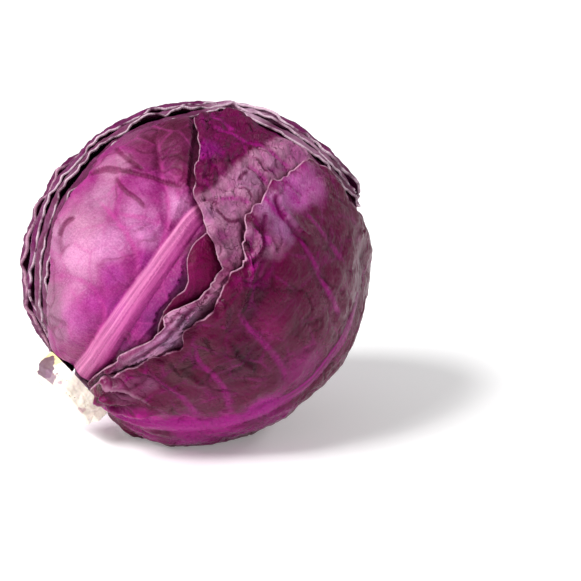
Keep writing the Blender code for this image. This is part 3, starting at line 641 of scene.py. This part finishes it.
front_leaf = make_leaf(
    "leaf_front",
    middle=(84, 8),
    margin=(
        (BASE, 50), (BASE, 25), (BASE, 0), (BASE, -24), (32, -30), (62, -32), (96, -32), (126, -28),
        (143, -14), (149, 5), (145, 30), (133, 50), (114, 61), (88, 66), (58, 66), (32, 62),
    ),
    rib=((BASE + 1, -1), (33, 0), (49, 3), (61, 5), (73, 7), (83, 9), (92, 11), (110, 12), (130, 12)),
    rib_mm=(15.0, 2.8, 6.5, 1.2),
    veins=(
        ((75, 10), (80.5, 11.7), (86, 15.4), (91.3, 20.8), (95.3, 28.2), (107, 48)),
        ((64, 8), (69.2, 11.4), (72.5, 15.5), (74.5, 22), (76, 32), (77, 45)),
        ((40, 8), (47, 8), (51.7, 11), (54, 16), (54.4, 24.3), (52, 32), (47.8, 45.7)),
        ((84.4, 15.8), (81.3, 23.6), (76.6, 31.3)),
        ((100, 12), (106, 20), (113, 28), (122, 34)),
    ),
    vein_mm=(3.2, 2.2), vein_rise=0.6, quilt=5.0, quilt_mm=7.0, cells=0.3, cell_mm=15.0,
    wrinkles=0.3, wrinkle_mm=14.0, crinkle=0.15, pleats=0.5, rings=118, spokes=560, seed=1,
    creases=(
        (((80, 52), (86.6, 44), (90.2, 35.8), (94.8, 28.3), (96.4, 23.8), (98.5, 17.4)), 1.5, 1.8),
        (((93.1, 51.4), (92.5, 41.6), (93.3, 31.8)), 1.6, 1.1),
        (((86.4, 41.2), (84.6, 32.8), (85.6, 27.1), (84.9, 21.9)), 1.5, 1.3),
        (((59.1, 44.3), (65.3, 44.6), (69.5, 41.3)), 1.6, 1.4),
        (((80.1, 52), (85.2, 46), (88, 38)), 1.2, 0.8),
    ),
    colour="#941E72",
    # The pale pink washes on the pillows between the veins are partly the wax bloom and partly painted
    # highlight on the pillow tops.
    washes=(
        (65, 38, 16, "#BA7A9E", 0.95), (58, 31, 13, "#CC86B2", 0.9), (81, 25, 9, "#BE74A8", 0.85),
        (77, 38, 9, "#B0749A", 0.85), (47, 33, 11, "#C47CA8", 0.7), (38, 24, 10, "#BE70A2", 0.6),
        (79, 16, 7, "#C678B2", 0.7), (93, 18, 8, "#D088BC", 0.85), (88, 43, 8, "#B87C9E", 0.75),
        (70, 24, 9, "#D085BA", 0.7), (43, 18, 8, "#B44C9A", 0.6),
        (56, 8, 8, "#A4208C", 0.85), (73, 12, 5, "#AA2A92", 0.6), (88, 29, 5, "#B04A94", 0.6),
        (96, 20, 5, "#A03080", 0.9),
        (52, 17, 5, "#B8389C", 0.5), (63, 16, 6, "#B0409C", 0.5),
        (110, 42, 18, "#540A32", 1.0), (105, 30, 11, "#5C0C3A", 1.0), (100, 44, 8, "#6E1446", 0.95),
        (99, 50, 9, "#763A5C", 0.8),
        (101, 22, 8, "#7A184E", 0.9), (93, 10, 5, "#A82684", 0.8), (98, 38, 7, "#7C2458", 0.7),
        (98, 16, 5, "#8A2468", 0.7),
        (42, 38, 9, "#8A6076", 0.8), (34, 28, 8, "#8C5C78", 0.8), (28, 14, 7, "#9A4474", 0.6),
        (46, -7, 9, "#6E1058", 0.95), (63, -6, 11, "#721462", 1.0), (76, -4, 9, "#761666", 1.0),
        (84, 1, 6, "#70125A", 0.95),
        (38, 4, 8, "#A8307C", 0.8), (26, 0, 9, "#A02472", 0.85), (60, 44, 8, "#A86E94", 0.7),
    ),
)
front_leaf.data.materials.append(leaf_cuticle(
    "magenta_leaf_cuticle", vein="#BE3E94", rib="#E286BA", rim="#C79AB0", bloom="#B484A0",
    crest_highlight_share=0.30, bloom_share=0.10, vein_share=0.6, streaks=0.14, roughness=0.28, saturation=1.0,
    kinked=0.15,
))


# The lobe: a smooth dark wine leaf, grown between the front leaf and the upper leaf. Only its edge shows, in
# the gap between them, so it is hardly quilted and its margin is a fine pale line.

lobe = make_leaf(
    "leaf_lobe",
    middle=(80, -34),
    margin=(
        (BASE, -24), (28, -22), (45, -18), (56, -12), (63, -6.5), (66.5, -4.5), (71.5, -4), (75, -4),
        (78.7, -2.1), (81, 1), (84, 4), (88, 4.8), (92, 5), (102, 2), (120, -8), (134, -22), (139, -42),
        (133, -58), (116, -66), (92, -68), (60, -66), (34, -62), (BASE, -56), (BASE, -40),
    ),
    rib=((BASE + 1, -38), (45, -38), (80, -36), (115, -34)),
    rib_mm=(13.0, 0.8, 5.0, 0.3),
    veins=(((70, -24), (76, -14), (80, -6)), ((84, -22), (88, -10), (90, -2))),
    quilt=1.0, crinkle=0.3, ruffle=0.9, rings=70, spokes=320, seed=2,
    colour="#64143C",
    washes=((84, -1, 7, "#66183C", 0.7), (76, -8, 6, "#541438", 0.7)),
)
lobe.data.materials.append(leaf_cuticle(
    "smooth_wine_leaf_cuticle", vein="#8E3468", rib="#8E3468", rim="#C092AA",
    bloom="#7C5470", bloom_share=0.1, crest_highlight_share=0.2, roughness=0.28,
))


# The upper right leaf: a crinkled, dark wine leaf with magenta veins. Wax bloom greys it on one side of a
# slanting line, and its free margin runs down the front in small waves.

upper_leaf = make_leaf(
    "leaf_upper",
    middle=(100, -30),
    margin=(
        (BASE, -12), (29, -7.2), (40, -7.2), (46, -6.7), (52, -8.6), (56, -10), (60.7, -8.7), (64.5, -8),
        (66.5, -6), (70.3, -6.7), (74.3, -8.6), (78, -9.8), (82, -9.2), (85.4, -8.7), (88.6, -6.6),
        (89.8, -2.5), (91.8, 1.8), (94.1, 5.2), (95.3, 9.5), (97.6, 15.5), (101.2, 19.1), (103.7, 23.4),
        (108.3, 27.1), (114.5, 34.5), (122, 50), (132, 66), (148, 72), (160, 50), (163, -5), (156, -48),
        (142, -68), (120, -78), (92, -82), (60, -80), (34, -76), (BASE, -72), (BASE, -52), (BASE, -32),
    ),
    rib=((BASE + 1, -48), (50, -52), (90, -54), (130, -52), (152, -44)),
    rib_mm=(13.0, 0.8, 5.0, 0.4),
    veins=(
        ((135, 1), (131.2, 7.7), (130, 16.8), (126.7, 22), (124.8, 28), (121.5, 36.7), (117.5, 42)),
        ((126, 30), (126.6, 40), (125, 47)),
        ((148.7, -13.5), (147.3, 5), (143.5, 19), (139.5, 28), (137.4, 43)),
        ((120.6, 2), (119.4, 9), (118.8, 15.2)),
        ((110, 2), (108.2, 6.2), (105, 8.4), (101, 11.4)),
        ((133, 3), (128, 6), (121, 8)),
    ),
    vein_mm=(3.2, 2.4), vein_rise=1.0, quilt=2.4, quilt_mm=5.0, cells=1.8, cell_mm=9.0, crinkle=0.8,
    swell=1.2, wrinkles=1.4, wrinkle_mm=11.0, pleats=1.8, ruffle=2.2, rings=118, spokes=560, seed=3,
    creases=(
        (((99.8, 9.4), (99.6, 5.6), (100.3, 2), (105, 1)), 1.0, 1.5),
        (((111.1, 11.1), (114.1, 12.5), (117, 11.3)), 1.1, 1.4),
        (((118.5, 3), (117.5, 9), (117.6, 15)), 0.8, 1.2), (((129, 6), (127.6, 14), (124, 22)), 0.9, 0.9),
        (((123, 5), (121, 8), (123, 12), (121, 16)), 1.0, 1.2), (((110, 3), (112, 6), (109, 9)), 1.0, 1.0),
    ),
    folds=(
        (((104, 19), (107, 21), (110, 24), (113, 24)), 1.8, 1.2), (((106, 23), (110, 22),
        (114, 23)), 1.5, 1.0),
        (((80, -10), (72, -11), (62, -13), (52, -13), (40, -11)), 1.6, 2.0),
        (((70, -9), (60, -11), (48, -10), (36, -9)), 1.4, 1.8), (((66, -12), (60, -10), (54, -11),
        (50, -9)), 1.4, 1.6),
        (((44, -12), (38, -10), (30, -9), (24, -9)), 1.4, 1.6), (((76, -12), (74, -9), (70, -8)), 1.3, 1.4),
    ),
    colour="#600E3E",
    shade=(
        ((88, 12), (96, 14.5), (103, 13.5), (115, 15.2), (128.6, 17.5), (144, 21), (160, 24)),
        "#B07A98", 0.95,
    ),
    washes=(
        (112, 26, 6, "#761866", 0.8), (122, 40, 10, "#5E0E40", 0.6),
        (115, 8, 7, "#9C6C8C", 0.8), (104, 6, 5, "#9A6888", 0.8), (127, 9, 7, "#9A6488", 0.8),
        (140, 6, 9, "#9A5684", 0.8), (147, -8, 10, "#8E4A78", 0.7), (97, 8, 5, "#86567A", 0.8),
        (94, 0, 5, "#64304E", 0.8), (88, -9, 8, "#6A2A4C", 0.9), (78, -13, 7, "#80566C", 0.9),
        (70, -12, 7, "#8A6682", 0.95), (62, -14, 7, "#A27A9A", 0.9), (52, -14, 7, "#986E8C", 0.9),
        (42, -12, 8, "#70465E", 0.9), (31, -11, 8, "#6A4058", 0.8),
    ),
)
upper_leaf.data.materials.append(leaf_cuticle(
    "waxy_wine_leaf_cuticle", vein="#A83A88", rib="#A83A88", rim="#D0A6BA", bloom="#9A7086",
    crest_highlight_share=0.30, bloom_share=0.10, vein_share=0.8, streaks=0.05, roughness=0.30, wrinkle=0.45,
    saturation=1.1, kinked=0.75,
))


# The first side leaf: a mauve blade that folds over the front leaf from the left and over the crown. It is
# smooth under a matt wax, and ends in a ruffled, pale margin well under a millimetre thick.

side_leaf_1 = make_leaf(
    "leaf_side_1",
    middle=(94, 118),
    margin=(
        (BASE, 72), (19, 52), (31, 42.5), (41, 44), (50, 48), (58, 51.5), (64, 53.5), (73, 54), (81, 52.5),
        (85, 55.5), (91, 56), (98, 55.7), (105, 54), (113, 52), (120, 48.5), (128, 51), (137, 48.5),
        (139, 39),
        (141, 28), (144, 20), (146.5, 9.4), (149.3, -2), (150, -14.5), (153, -50), (156, -110), (147, 176),
        (126, 156), (100, 148), (70, 146), (40, 142), (BASE, 138), (BASE, 116), (BASE, 94),
    ),
    rib=((BASE + 1, 106), (50, 106), (90, 106), (125, 104)),
    rib_mm=(13.0, 0.8, 5.0, 0.3),
    veins=(
        ((60, 96), (72, 80), (82, 66), (90, 58)), ((100, 92), (112, 74), (122, 58)),
        ((40, 90), (50, 70), (58, 54)),
    ),
    quilt=0.9, crinkle=0.6, ruffle=1.8, swell=0.4, wrinkles=0.6, seed=4,
    colour="#5E2C48",
    washes=((139, 49, 14, "#CFAEC2", 0.8), (148, 10, 12, "#B48AA4", 0.6)),
)
margin_cuticle = leaf_cuticle(
    "mauve_leaf_cuticle", vein="#A0508A", rib="#A0508A", rim="#EBD3E0", bloom="#A2789A",
    bloom_share=0.4, roughness=0.34, streaks=0.2, wrinkle=0.35,
)
side_leaf_1.data.materials.append(margin_cuticle)


# The back leaf: hidden in the photograph, and so guessed from the others. It is a purple blade with a broad
# rib, and closes the head between the outermost and the lower leaf, whose margins lie over it.

back_leaf = make_leaf(
    "leaf_back",
    middle=(88, -154),
    margin=(
        (BASE, 166), (30, 152), (52, 144), (80, 142), (106, 146), (130, 158), (147, 178), (152, -150),
        (147, -120), (134, -106), (112, -102), (90, -104), (64, -112), (38, -118), (BASE, -124),
        (BASE, -144), (BASE, -168),
    ),
    rib=((BASE + 1, -152), (45, -154), (85, -156), (125, -156), (140, -154)),
    rib_mm=(15.0, 2.4, 5.0, 0.7),
    veins=(
        ((52, -158), (62, -172), (76, 176), (94, 168)), ((84, -160), (98, -172), (112, 178), (126, 172)),
        ((66, -150), (78, -138), (92, -126), (106, -116)), ((98, -152), (110, -140), (122, -126)),
    ),
    quilt=3.0, cells=0.8, swell=1.0, seed=5,
    colour="#70205A",
    washes=((70, -140, 20, "#B870A0", 0.7), (100, -168, 16, "#B06A9A", 0.7), (40, -150, 14, "#94307C", 0.6)),
)
back_leaf.data.materials.append(leaf_cuticle(
    "purple_leaf_cuticle", vein="#B8509A", rib="#D083B4", rim="#C79AB0", bloom="#A07890",
))


# The second side leaf: the next mauve blade of the stack, wrapped over the first one. Its ruffled margin
# stands a few millimetres behind the first one's, so the two show as parallel pale waves.

side_leaf_2 = make_leaf(
    "leaf_side_2",
    middle=(92, 116),
    margin=(
        (BASE, 82), (26, 58), (36, 53), (46, 56), (54, 58), (63, 61), (71, 62), (80, 60), (88, 63), (97, 62),
        (106, 61), (115, 58), (124, 57), (133, 57), (141, 54), (146, 42), (148.5, 26), (152, 10), (154, -6),
        (157, -30), (162, -70), (160, -130), (147, 178), (122, 164), (90, 156), (56, 152), (30, 148),
        (BASE, 144), (BASE, 122), (BASE, 102),
    ),
    rib=((BASE + 1, 114), (50, 115), (90, 116), (130, 118)),
    rib_mm=(13.0, 0.8, 5.0, 0.3),
    veins=(
        ((60, 100), (72, 84), (82, 70)), ((100, 100), (112, 82), (122, 66)),
        ((130, 100), (140, 80), (147, 58)),
    ),
    quilt=0.9, crinkle=0.6, ruffle=2.0, swell=0.4, wrinkles=0.6, seed=6,
    colour="#64344E",
    washes=((141, 54, 14, "#CFAEC2", 0.8), (151, 6, 12, "#B48AA4", 0.6)),
)
side_leaf_2.data.materials.append(margin_cuticle)


# The third side leaf: the top of the stack, a mauve blade with more wax. It makes most of the crown and of
# the head's top from behind, and its margin is the furthest back of the three.

side_leaf_3 = make_leaf(
    "leaf_side_3",
    middle=(86, 128),
    margin=(
        (BASE, 96), (28, 72), (40, 67), (50, 66), (58, 69), (68, 70), (78, 71), (88, 72), (98, 71),
        (108, 70),
        (118, 68), (128, 66), (138, 65), (147, 60), (153, 42), (156.5, 18), (159.5, -10), (162, -60),
        (157, -120), (144, -164), (124, 178), (98, 168), (68, 164), (40, 160), (BASE, 152), (BASE, 134),
        (BASE, 114),
    ),
    rib=((BASE + 1, 132), (45, 134), (85, 137), (120, 140), (140, 144)),
    rib_mm=(14.0, 0.8, 5.0, 0.7),
    veins=(
        ((60, 134), (74, 122), (88, 108), (100, 96)), ((96, 138), (110, 126), (122, 112), (132, 96)),
        ((112, 142), (124, 156), (134, 176)), ((126, 136), (138, 118), (146, 92)),
    ),
    quilt=1.3, crinkle=0.6, ruffle=2.0, swell=0.5, wrinkles=0.6, seed=7,
    colour="#62284E",
    washes=((150, 100, 24, "#96608A", 0.6), (120, 130, 20, "#8A4A7C", 0.6), (146, 62, 14, "#C8A6BA", 0.75)),
)
side_leaf_3.data.materials.append(leaf_cuticle(
    "mauve_crown_leaf_cuticle", vein="#A84C90", rib="#B464A0", rim="#EBD3E0", bloom="#A67C9C",
    bloom_share=0.45, roughness=0.36,
))


# The outermost leaf, on the left and behind: an older, darker blade with a thick rib, the widest ruffles and
# the most wax, clasped round the stalk over all the side leaves.

outer_leaf = make_leaf(
    "leaf_outer",
    middle=(76, 136),
    margin=(
        (BASE, 100), (26, 84), (38, 79), (48, 80), (57, 83), (67, 84), (77, 82), (88, 84), (98, 86),
        (109, 90),
        (119, 98), (128, 111), (134, 128), (133, 148), (126, 163), (113, 171), (98, 174), (80, 174),
        (61, 172),
        (42, 170), (25, 165), (BASE, 160), (BASE, 140), (BASE, 120),
    ),
    rib=((BASE + 1, 132), (40, 134), (70, 137), (100, 140), (124, 144)),
    rib_mm=(16.0, 2.6, 5.0, 0.8),
    veins=(
        ((44, 140), (53, 154), (66, 166), (82, 176)), ((66, 142), (78, 154), (92, 166), (106, 176)),
        ((50, 130), (60, 116), (72, 104), (84, 96)), ((74, 133), (86, 122), (98, 112), (110, 104)),
    ),
    quilt=2.0, crinkle=0.7, ruffle=2.4, swell=0.7, wrinkles=0.6, seed=8,
    colour="#5A2246",
    washes=((60, 120, 18, "#8E4C7A", 0.6), (90, 150, 18, "#7E4068", 0.6)),
)
outer_leaf.data.materials.append(leaf_cuticle(
    "old_leaf_cuticle", vein="#A0608C", rib="#B878A0", rim="#CFA6BA", bloom="#866078",
    bloom_share=0.55, roughness=0.40,
))


# The lower right leaf, which the head rests on: brownish wine and glossy, pleated where it clasps the stalk,
# with curved magenta veins and the deepest waves along its margin. Its rib shows as a bright band below.

lower_leaf = make_leaf(
    "leaf_lower",
    middle=(82, -72),
    margin=(
        (BASE, -22), (30.2, -10.8), (36.2, -12.4), (43.7, -13.1), (47.7, -14.1), (52, -14.8), (55.2, -16.7),
        (59.3, -17.3), (62.9, -17.9), (64.7, -16.3), (68.7, -14.5), (72.8, -13.7), (76.3, -13.5),
        (81.9, -13.4),
        (84.8, -12.6), (88.6, -10.9), (92.4, -10.5), (94.9, -11), (97, -9.5), (98.1, -3), (103.2, -0.1),
        (105.1, 0.6), (110.1, 0.3), (113.7, 2), (119.7, 2.3), (123.7, 2.4), (130.6, 2.3), (138.9, 1.5),
        (142.3, -3.2), (144.6, -12.5), (147, -28), (148, -50), (145, -74), (139, -96), (128, -116),
        (112, -130),
        (96, -140), (76, -146), (54, -148), (34, -140), (BASE, -124), (BASE, -98), (BASE, -72), (BASE, -46),
    ),
    rib=((BASE + 1, -58), (32, -57), (56, -62), (76, -66), (90, -68), (112, -66), (134, -60)),
    rib_mm=(15.0, 2.4, 6.0, 0.9),
    veins=(
        ((61.3, -57), (63.4, -49), (65.1, -40.3), (64.9, -32.7), (63.7, -27.2), (65, -22.6), (69.2, -17.3)),
        ((83.6, -54), (84.2, -40.6), (82.8, -27), (83.3, -20.6), (87.1, -15.5)),
        ((52, -52), (52.5, -37), (50.1, -27.6), (49.6, -20.5), (50.5, -16.4)),
        ((50, -66), (60, -82), (74, -96), (90, -108)), ((72, -70), (84, -84), (98, -98), (112, -108)),
        ((123.2, -10), (125.2, -5.5), (125.9, 2.4)), ((115.7, -10), (114.4, -6.1), (114.7, 2.8)),
        ((110, -54), (112, -36), (115.7, -10)), ((124, -40), (124, -24), (123.2, -10)),
        ((94.7, -9.8), (97.5, -10.7), (101.1, -10.6), (103.8, -8.8), (104.5, -5.6), (102.7, -1.8)),
    ),
    vein_mm=(4.2, 2.4), vein_rise=0.9, quilt=2.4, quilt_mm=8.0, cells=0.6, cell_mm=13.0, crinkle=0.35,
    swell=1.0, wrinkles=0.7, wrinkle_mm=16.0, pleats=1.9, ruffle=2.4, rings=118, spokes=560, seed=9,
    folds=(
        (((28, -9.2), (35.6, -18), (40.4, -24.7), (41.7, -31.5), (44.7, -42.6)), 2.6, 3.2),
        (((20.6, -25), (23.3, -37.5), (28.7, -41), (35.3, -42.4), (43, -43.3)), 2.6, 3.0),
        (((36, -13), (41.1, -14.2), (40.6, -22.8), (41.5, -32.8), (43.9, -40.9)), 1.8, 2.2),
        (((47, -15), (50, -22), (51, -30), (54, -38)), 2.0, 1.8), (((26, -22), (31, -30), (34, -38),
        (37, -46)), 1.8, 2.0),
        (((22, -18), (28, -24), (34, -30), (38, -36)), 2.0, 2.6),
        (((25, -12), (32, -17), (36, -25), (37, -33)), 1.8, 2.2),
        (((92, -14), (86, -16), (80, -17), (74, -18)), 2.2, 1.2),
        (((94.7, -9.8), (97.5, -10.7), (101.1, -10.6), (103.8, -8.8), (104.5, -5.6),
        (102.7, -1.8)), 3.0, 3.4),
        (((118, -2), (116, -8), (116, -16), (118, -26)), 2.6, 2.4),
        (((84.7, -20.3), (88.8, -17.4), (92.7, -15.3), (96.9, -13.4), (100.8, -11.2)), 2.6, 2.4),
        (((84.6, -18.5), (88, -15.9), (91.9, -12.9), (95.2, -10.2)), 2.0, 1.8),
        (((77, -21.7), (81.3, -17.2), (81.4, -13.2), (78.4, -12.1)), 1.8, 1.6),
        (((105.2, -14.3), (105.9, -11.6), (107.1, -8.5)), 1.8, 1.4),
        (((60, -34), (58, -28), (57, -22)), 2.6, 1.5), (((76, -40), (74, -32), (76, -24)), 3.0, 1.6),
    ),
    creases=(
        (((100, -8), (98, -6), (97, -2)), 1.8, 1.4),
        (((58, -19), (57, -24), (58, -29)), 1.4, 1.2), (((72, -19), (70, -23), (70, -28)), 1.4, 1.0),
        (((112, -3), (108, -6), (106, -9)), 1.6, 1.2),
    ),
    colour="#5A1436",
    # The near-black washes beside the folds, at 86 to 98 degrees from the stalk, are painted shadow under the
    # folds, and the small magenta one at 105 degrees is a painted highlight on a fold's crest.
    washes=(
        (114, -3, 9, "#AE78A2", 0.95), (112, -11, 8, "#A27098", 0.9), (126, -5, 10, "#BE70AC", 0.95),
        (133, -8, 9, "#B06C9E", 0.85), (93, -19, 5, "#400C28", 0.85), (86, -23, 5, "#400C28", 0.75),
        (97, -13, 3, "#B8529E", 0.8), (92, -16, 3, "#A8448E", 0.8),
        (88, -32, 9, "#842058", 0.6), (105, -13, 7, "#9A6C86", 0.95), (99, -10, 4, "#8E5A74", 0.9),
        (101, -4, 5, "#A06E8C", 0.95),
        (113, 2, 3.5, "#9A3A80", 0.8), (105, -10, 3.5, "#A84C8E", 0.8), (98, -6, 3.5, "#3A0A22", 0.9),
        (96, -15, 6, "#8C2E68", 0.7), (89, -14, 4, "#7A2456", 0.6),
        (67, -24, 9, "#54323C", 0.85), (56, -26, 9, "#56343E", 0.85), (74, -34, 11, "#42142A", 0.7),
        (46, -24, 7, "#7C4C68", 0.8), (36, -20, 9, "#7E4E68", 0.85), (80, -22, 6, "#562036", 0.7),
        (34, -50, 11, "#B83690", 0.95), (46, -60, 11, "#C03499", 0.95), (58, -63, 12, "#B43090", 0.95),
        (72, -62, 12, "#A42888", 0.9), (88, -56, 13, "#861A66", 0.75), (27, -60, 9, "#AC4484", 0.9),
        (24, -34, 6, "#8A3C6C", 0.6), (44, -78, 11, "#8E1E72", 0.9), (60, -80, 12, "#8C1C70", 0.9),
        (30, -80, 10, "#8A2A6C", 0.8), (76, -78, 12, "#86206A", 0.8), (60, -42, 8, "#6A1848", 0.5),
    ),
)
lower_leaf.data.materials.append(leaf_cuticle(
    "glossy_wine_leaf_cuticle", vein="#9C2C7C", rib="#A02C84", rim="#CFA4BA", bloom="#7C5468",
    crest_highlight_share=0.25, bloom_share=0.08, vein_share=0.7, streaks=0.08, mottle=0.16, roughness=0.19,
    wrinkle=0.30, saturation=1.2, kinked=0.45, ior=1.26,
))


# The stalk: sliced off with a knife just below the head. It is cream pith with a paler rind, and round it
# are the stubs of the outer leaves, each pared off at its own slant and still purple on the outside.

STUMP_RADIUS_MM = 18.2
STUMP_START_MM = 78.0
STUMP_END_MM = 90.0
CUT_TILT = math.radians(7)
# Each stub's azimuth in degrees, its radius, and the height where its slanting cut starts, in mm.
STUBS = (
    (105, 20.6, 84.5), (60, 20.0, 86.5), (15, 19.8, 85.5), (-45, 19.2, 88.0), (-98, 20.4, 84.0),
    (-165, 20.2, 86.0),
)
STUB_HALF_WIDTH = 0.62  # radians
STUB_ROUNDING = 0.1375  # how much of its radius a stub loses at its sides
CUT_SLOPE = 0.9
CREASE_ANGLE = math.radians(42)
STALK_SPOKES = 260
SIDE_RINGS = 36
FACE_RINGS = 44

turned = np.array(Vector(stalk_axis).to_track_quat("Z", "Y").to_matrix())


def stub_radius(turn, height):
    """The stump's radius in mm: a round stem with the slanting cut faces of the leaf stubs round it."""
    radius = np.full(len(turn), STUMP_RADIUS_MM)
    for azimuth, out, top in STUBS:
        toward = turned.T @ directions([(90, azimuth)])[0]
        heading = math.atan2(toward[1], toward[0])
        off = (turn - heading + math.pi) % (2 * math.pi) - math.pi
        stub = out * (1 - STUB_ROUNDING * (off / STUB_HALF_WIDTH) ** 2)
        slant = np.clip((height - top) * CUT_SLOPE, 0, None)
        radius = np.where(np.abs(off) < STUB_HALF_WIDTH, np.maximum(radius, stub - slant), radius)
    return radius


turns = np.linspace(-math.pi, math.pi, STALK_SPOKES, endpoint=False)
rows = []
for i in range(SIDE_RINGS):
    share = i / (SIDE_RINGS - 1)
    top = STUMP_END_MM - math.tan(CUT_TILT) * STUMP_RADIUS_MM * np.cos(turns)
    height = STUMP_START_MM + (top - STUMP_START_MM) * share
    radius = stub_radius(turns, height)
    knobs = np.array([noise.fractal(Vector((math.cos(t) * 4, math.sin(t) * 4, h / 5)), 0.8, 2.0, 3)
                      for t, h in zip(turns, height)])
    radius = radius + 0.55 * knobs - 0.9 * smooth((share - 0.93) / 0.07)
    rows.append(np.stack((radius * np.cos(turns), radius * np.sin(turns), height), axis=1))
for i in range(1, FACE_RINGS):
    share = 1 - i / FACE_RINGS
    inner = rows[SIDE_RINGS - 1][:, :2] * share
    saw = np.array([noise.noise(Vector((x / 5, y / 0.9, 3))) for x, y in inner])
    height = STUMP_END_MM - math.tan(CUT_TILT) * inner[:, 0] + 0.12 * saw - 0.5 * smooth(1 - share / 0.35)
    rows.append(np.column_stack((inner, height)))
points = np.vstack(rows)
points = np.vstack((points, [[0, 0, points[-STALK_SPOKES:, 2].mean()], [0, 0, STUMP_START_MM]]))
ring_count = len(rows)
faces = []
for i in range(ring_count - 1):
    for j in range(STALK_SPOKES):
        k = (j + 1) % STALK_SPOKES
        a, b = i * STALK_SPOKES, (i + 1) * STALK_SPOKES
        faces.append((a + j, a + k, b + k, b + j))
last = (ring_count - 1) * STALK_SPOKES
faces += [(last + j, last + (j + 1) % STALK_SPOKES, len(points) - 2) for j in range(STALK_SPOKES)]
faces += [((j + 1) % STALK_SPOKES, j, len(points) - 1) for j in range(STALK_SPOKES)]
stump_mesh = bpy.data.meshes.new("cut_stalk")
stump_mesh.from_pydata((HEAD_CENTRE + points @ turned.T * MM).tolist(), [], faces)
stump_mesh.shade_smooth()
stump_mesh.set_sharp_from_angle(angle=CREASE_ANGLE)
side_height = np.concatenate([np.full(STALK_SPOKES, i / (SIDE_RINGS - 1)) for i in range(SIDE_RINGS)]
                             + [np.full(STALK_SPOKES, 2.0)] * (FACE_RINGS - 1) + [[2.0, 0.0]])
layer = stump_mesh.attributes.new("side_height", "FLOAT", "POINT")
layer.data.foreach_set("value", side_height.astype(np.float32))
layer = stump_mesh.attributes.new("stalk_mm", "FLOAT_VECTOR", "POINT")
layer.data.foreach_set("vector", points.astype(np.float32).ravel())
stump = bpy.data.objects.new("cut_stalk", stump_mesh)
bpy.context.scene.collection.objects.link(stump)

pith, tree = empty_material("cut_cabbage_pith")
spot = add_node(tree, "Attribute", {"attribute_name": "stalk_mm"})[1]
level = add_node(tree, "Attribute", {"attribute_name": "side_height"})[2]
mottle = add_node(tree, "TexNoise", Vector=spot, Scale=1 / 7.0, Detail=5.0)
specks = add_node(tree, "TexNoise", Vector=spot, Scale=1 / 1.3, Detail=4.0)
cream = add_node(tree, "Mix", mix, in0=mottle[0], in6=linear("#EFE4CF"), in7=linear("#FAF5EA"))
on_side = add_node(tree, "MapRange", in0=level, in1=1.2, in2=1.0)
ragged = add_node(tree, "MapRange", in0=mottle[0], in1=0.3, in2=0.7, in3=-2.6, in4=2.6)
coloured = cream[2]
# The stubs' purple outsides and the bruises: azimuth, radius, height and reach in mm, colour and strength.
for azimuth, out, height, reach, hex_code, strength in (
    (62, 19.5, 78.5, 7.5, "#EAD994", 0.85), (54, 20.0, 87, 6.4, "#6A465C", 0.95),
    (30, 19.5, 88, 4.0, "#846078", 0.85),
    (14, 19.5, 87.5, 2.6, "#A8809A", 0.7), (-52, 18.5, 89.5, 1.6, "#5A3A2C", 0.9),
    (-40, 19.5, 88, 1.5, "#A8607E", 0.6),
    (150, 20.0, 85, 6.0, "#7A5068", 0.9), (-120, 20.0, 86, 5.0, "#7A5068", 0.9),
):
    middle = turned.T @ directions([(90, azimuth)])[0] * out + np.array((0, 0, height))
    apart = add_node(tree, "VectorMath", {"operation": "DISTANCE"}, in0=spot, in1=tuple(middle))[1]
    apart = add_node(tree, "Math", {"operation": "ADD"}, in0=apart, in1=ragged[0])[0]
    mask = add_node(tree, "MapRange", {"interpolation_type": "SMOOTHSTEP"},
                    in0=apart, in1=reach + 0.4, in2=reach - 0.4, in4=strength)[0]
    mask = add_node(tree, "Math", {"operation": "MULTIPLY"}, in0=mask, in1=on_side[0])[0]
    coloured = add_node(tree, "Mix", mix, in0=mask, in6=coloured, in7=linear(hex_code))[2]
dots = add_node(tree, "MapRange", {"interpolation_type": "SMOOTHSTEP"}, in0=specks[0], in1=0.66, in2=0.74)
dots = add_node(tree, "Math", {"operation": "MULTIPLY", "use_clamp": True}, in0=dots[0], in1=on_side[0])
coloured = add_node(tree, "Mix", mix, in0=dots[0], in6=coloured, in7=linear("#9A7048"))
grain_bump = add_node(tree, "Bump", Height=specks[0], Distance=0.25 * MM, Strength=0.5)
flesh = add_node(
    tree, "BsdfPrincipled", Base_Color=coloured[2], Roughness=0.55, Normal=grain_bump[0],
    Subsurface_Weight=0.2, Subsurface_Radius=(1.0, 0.8, 0.5), Subsurface_Scale=1.5 * MM,
)
add_node(tree, "OutputMaterial", Surface=flesh[0])
stump_mesh.materials.append(pith)
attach(stump, "root")
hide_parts("stalk")
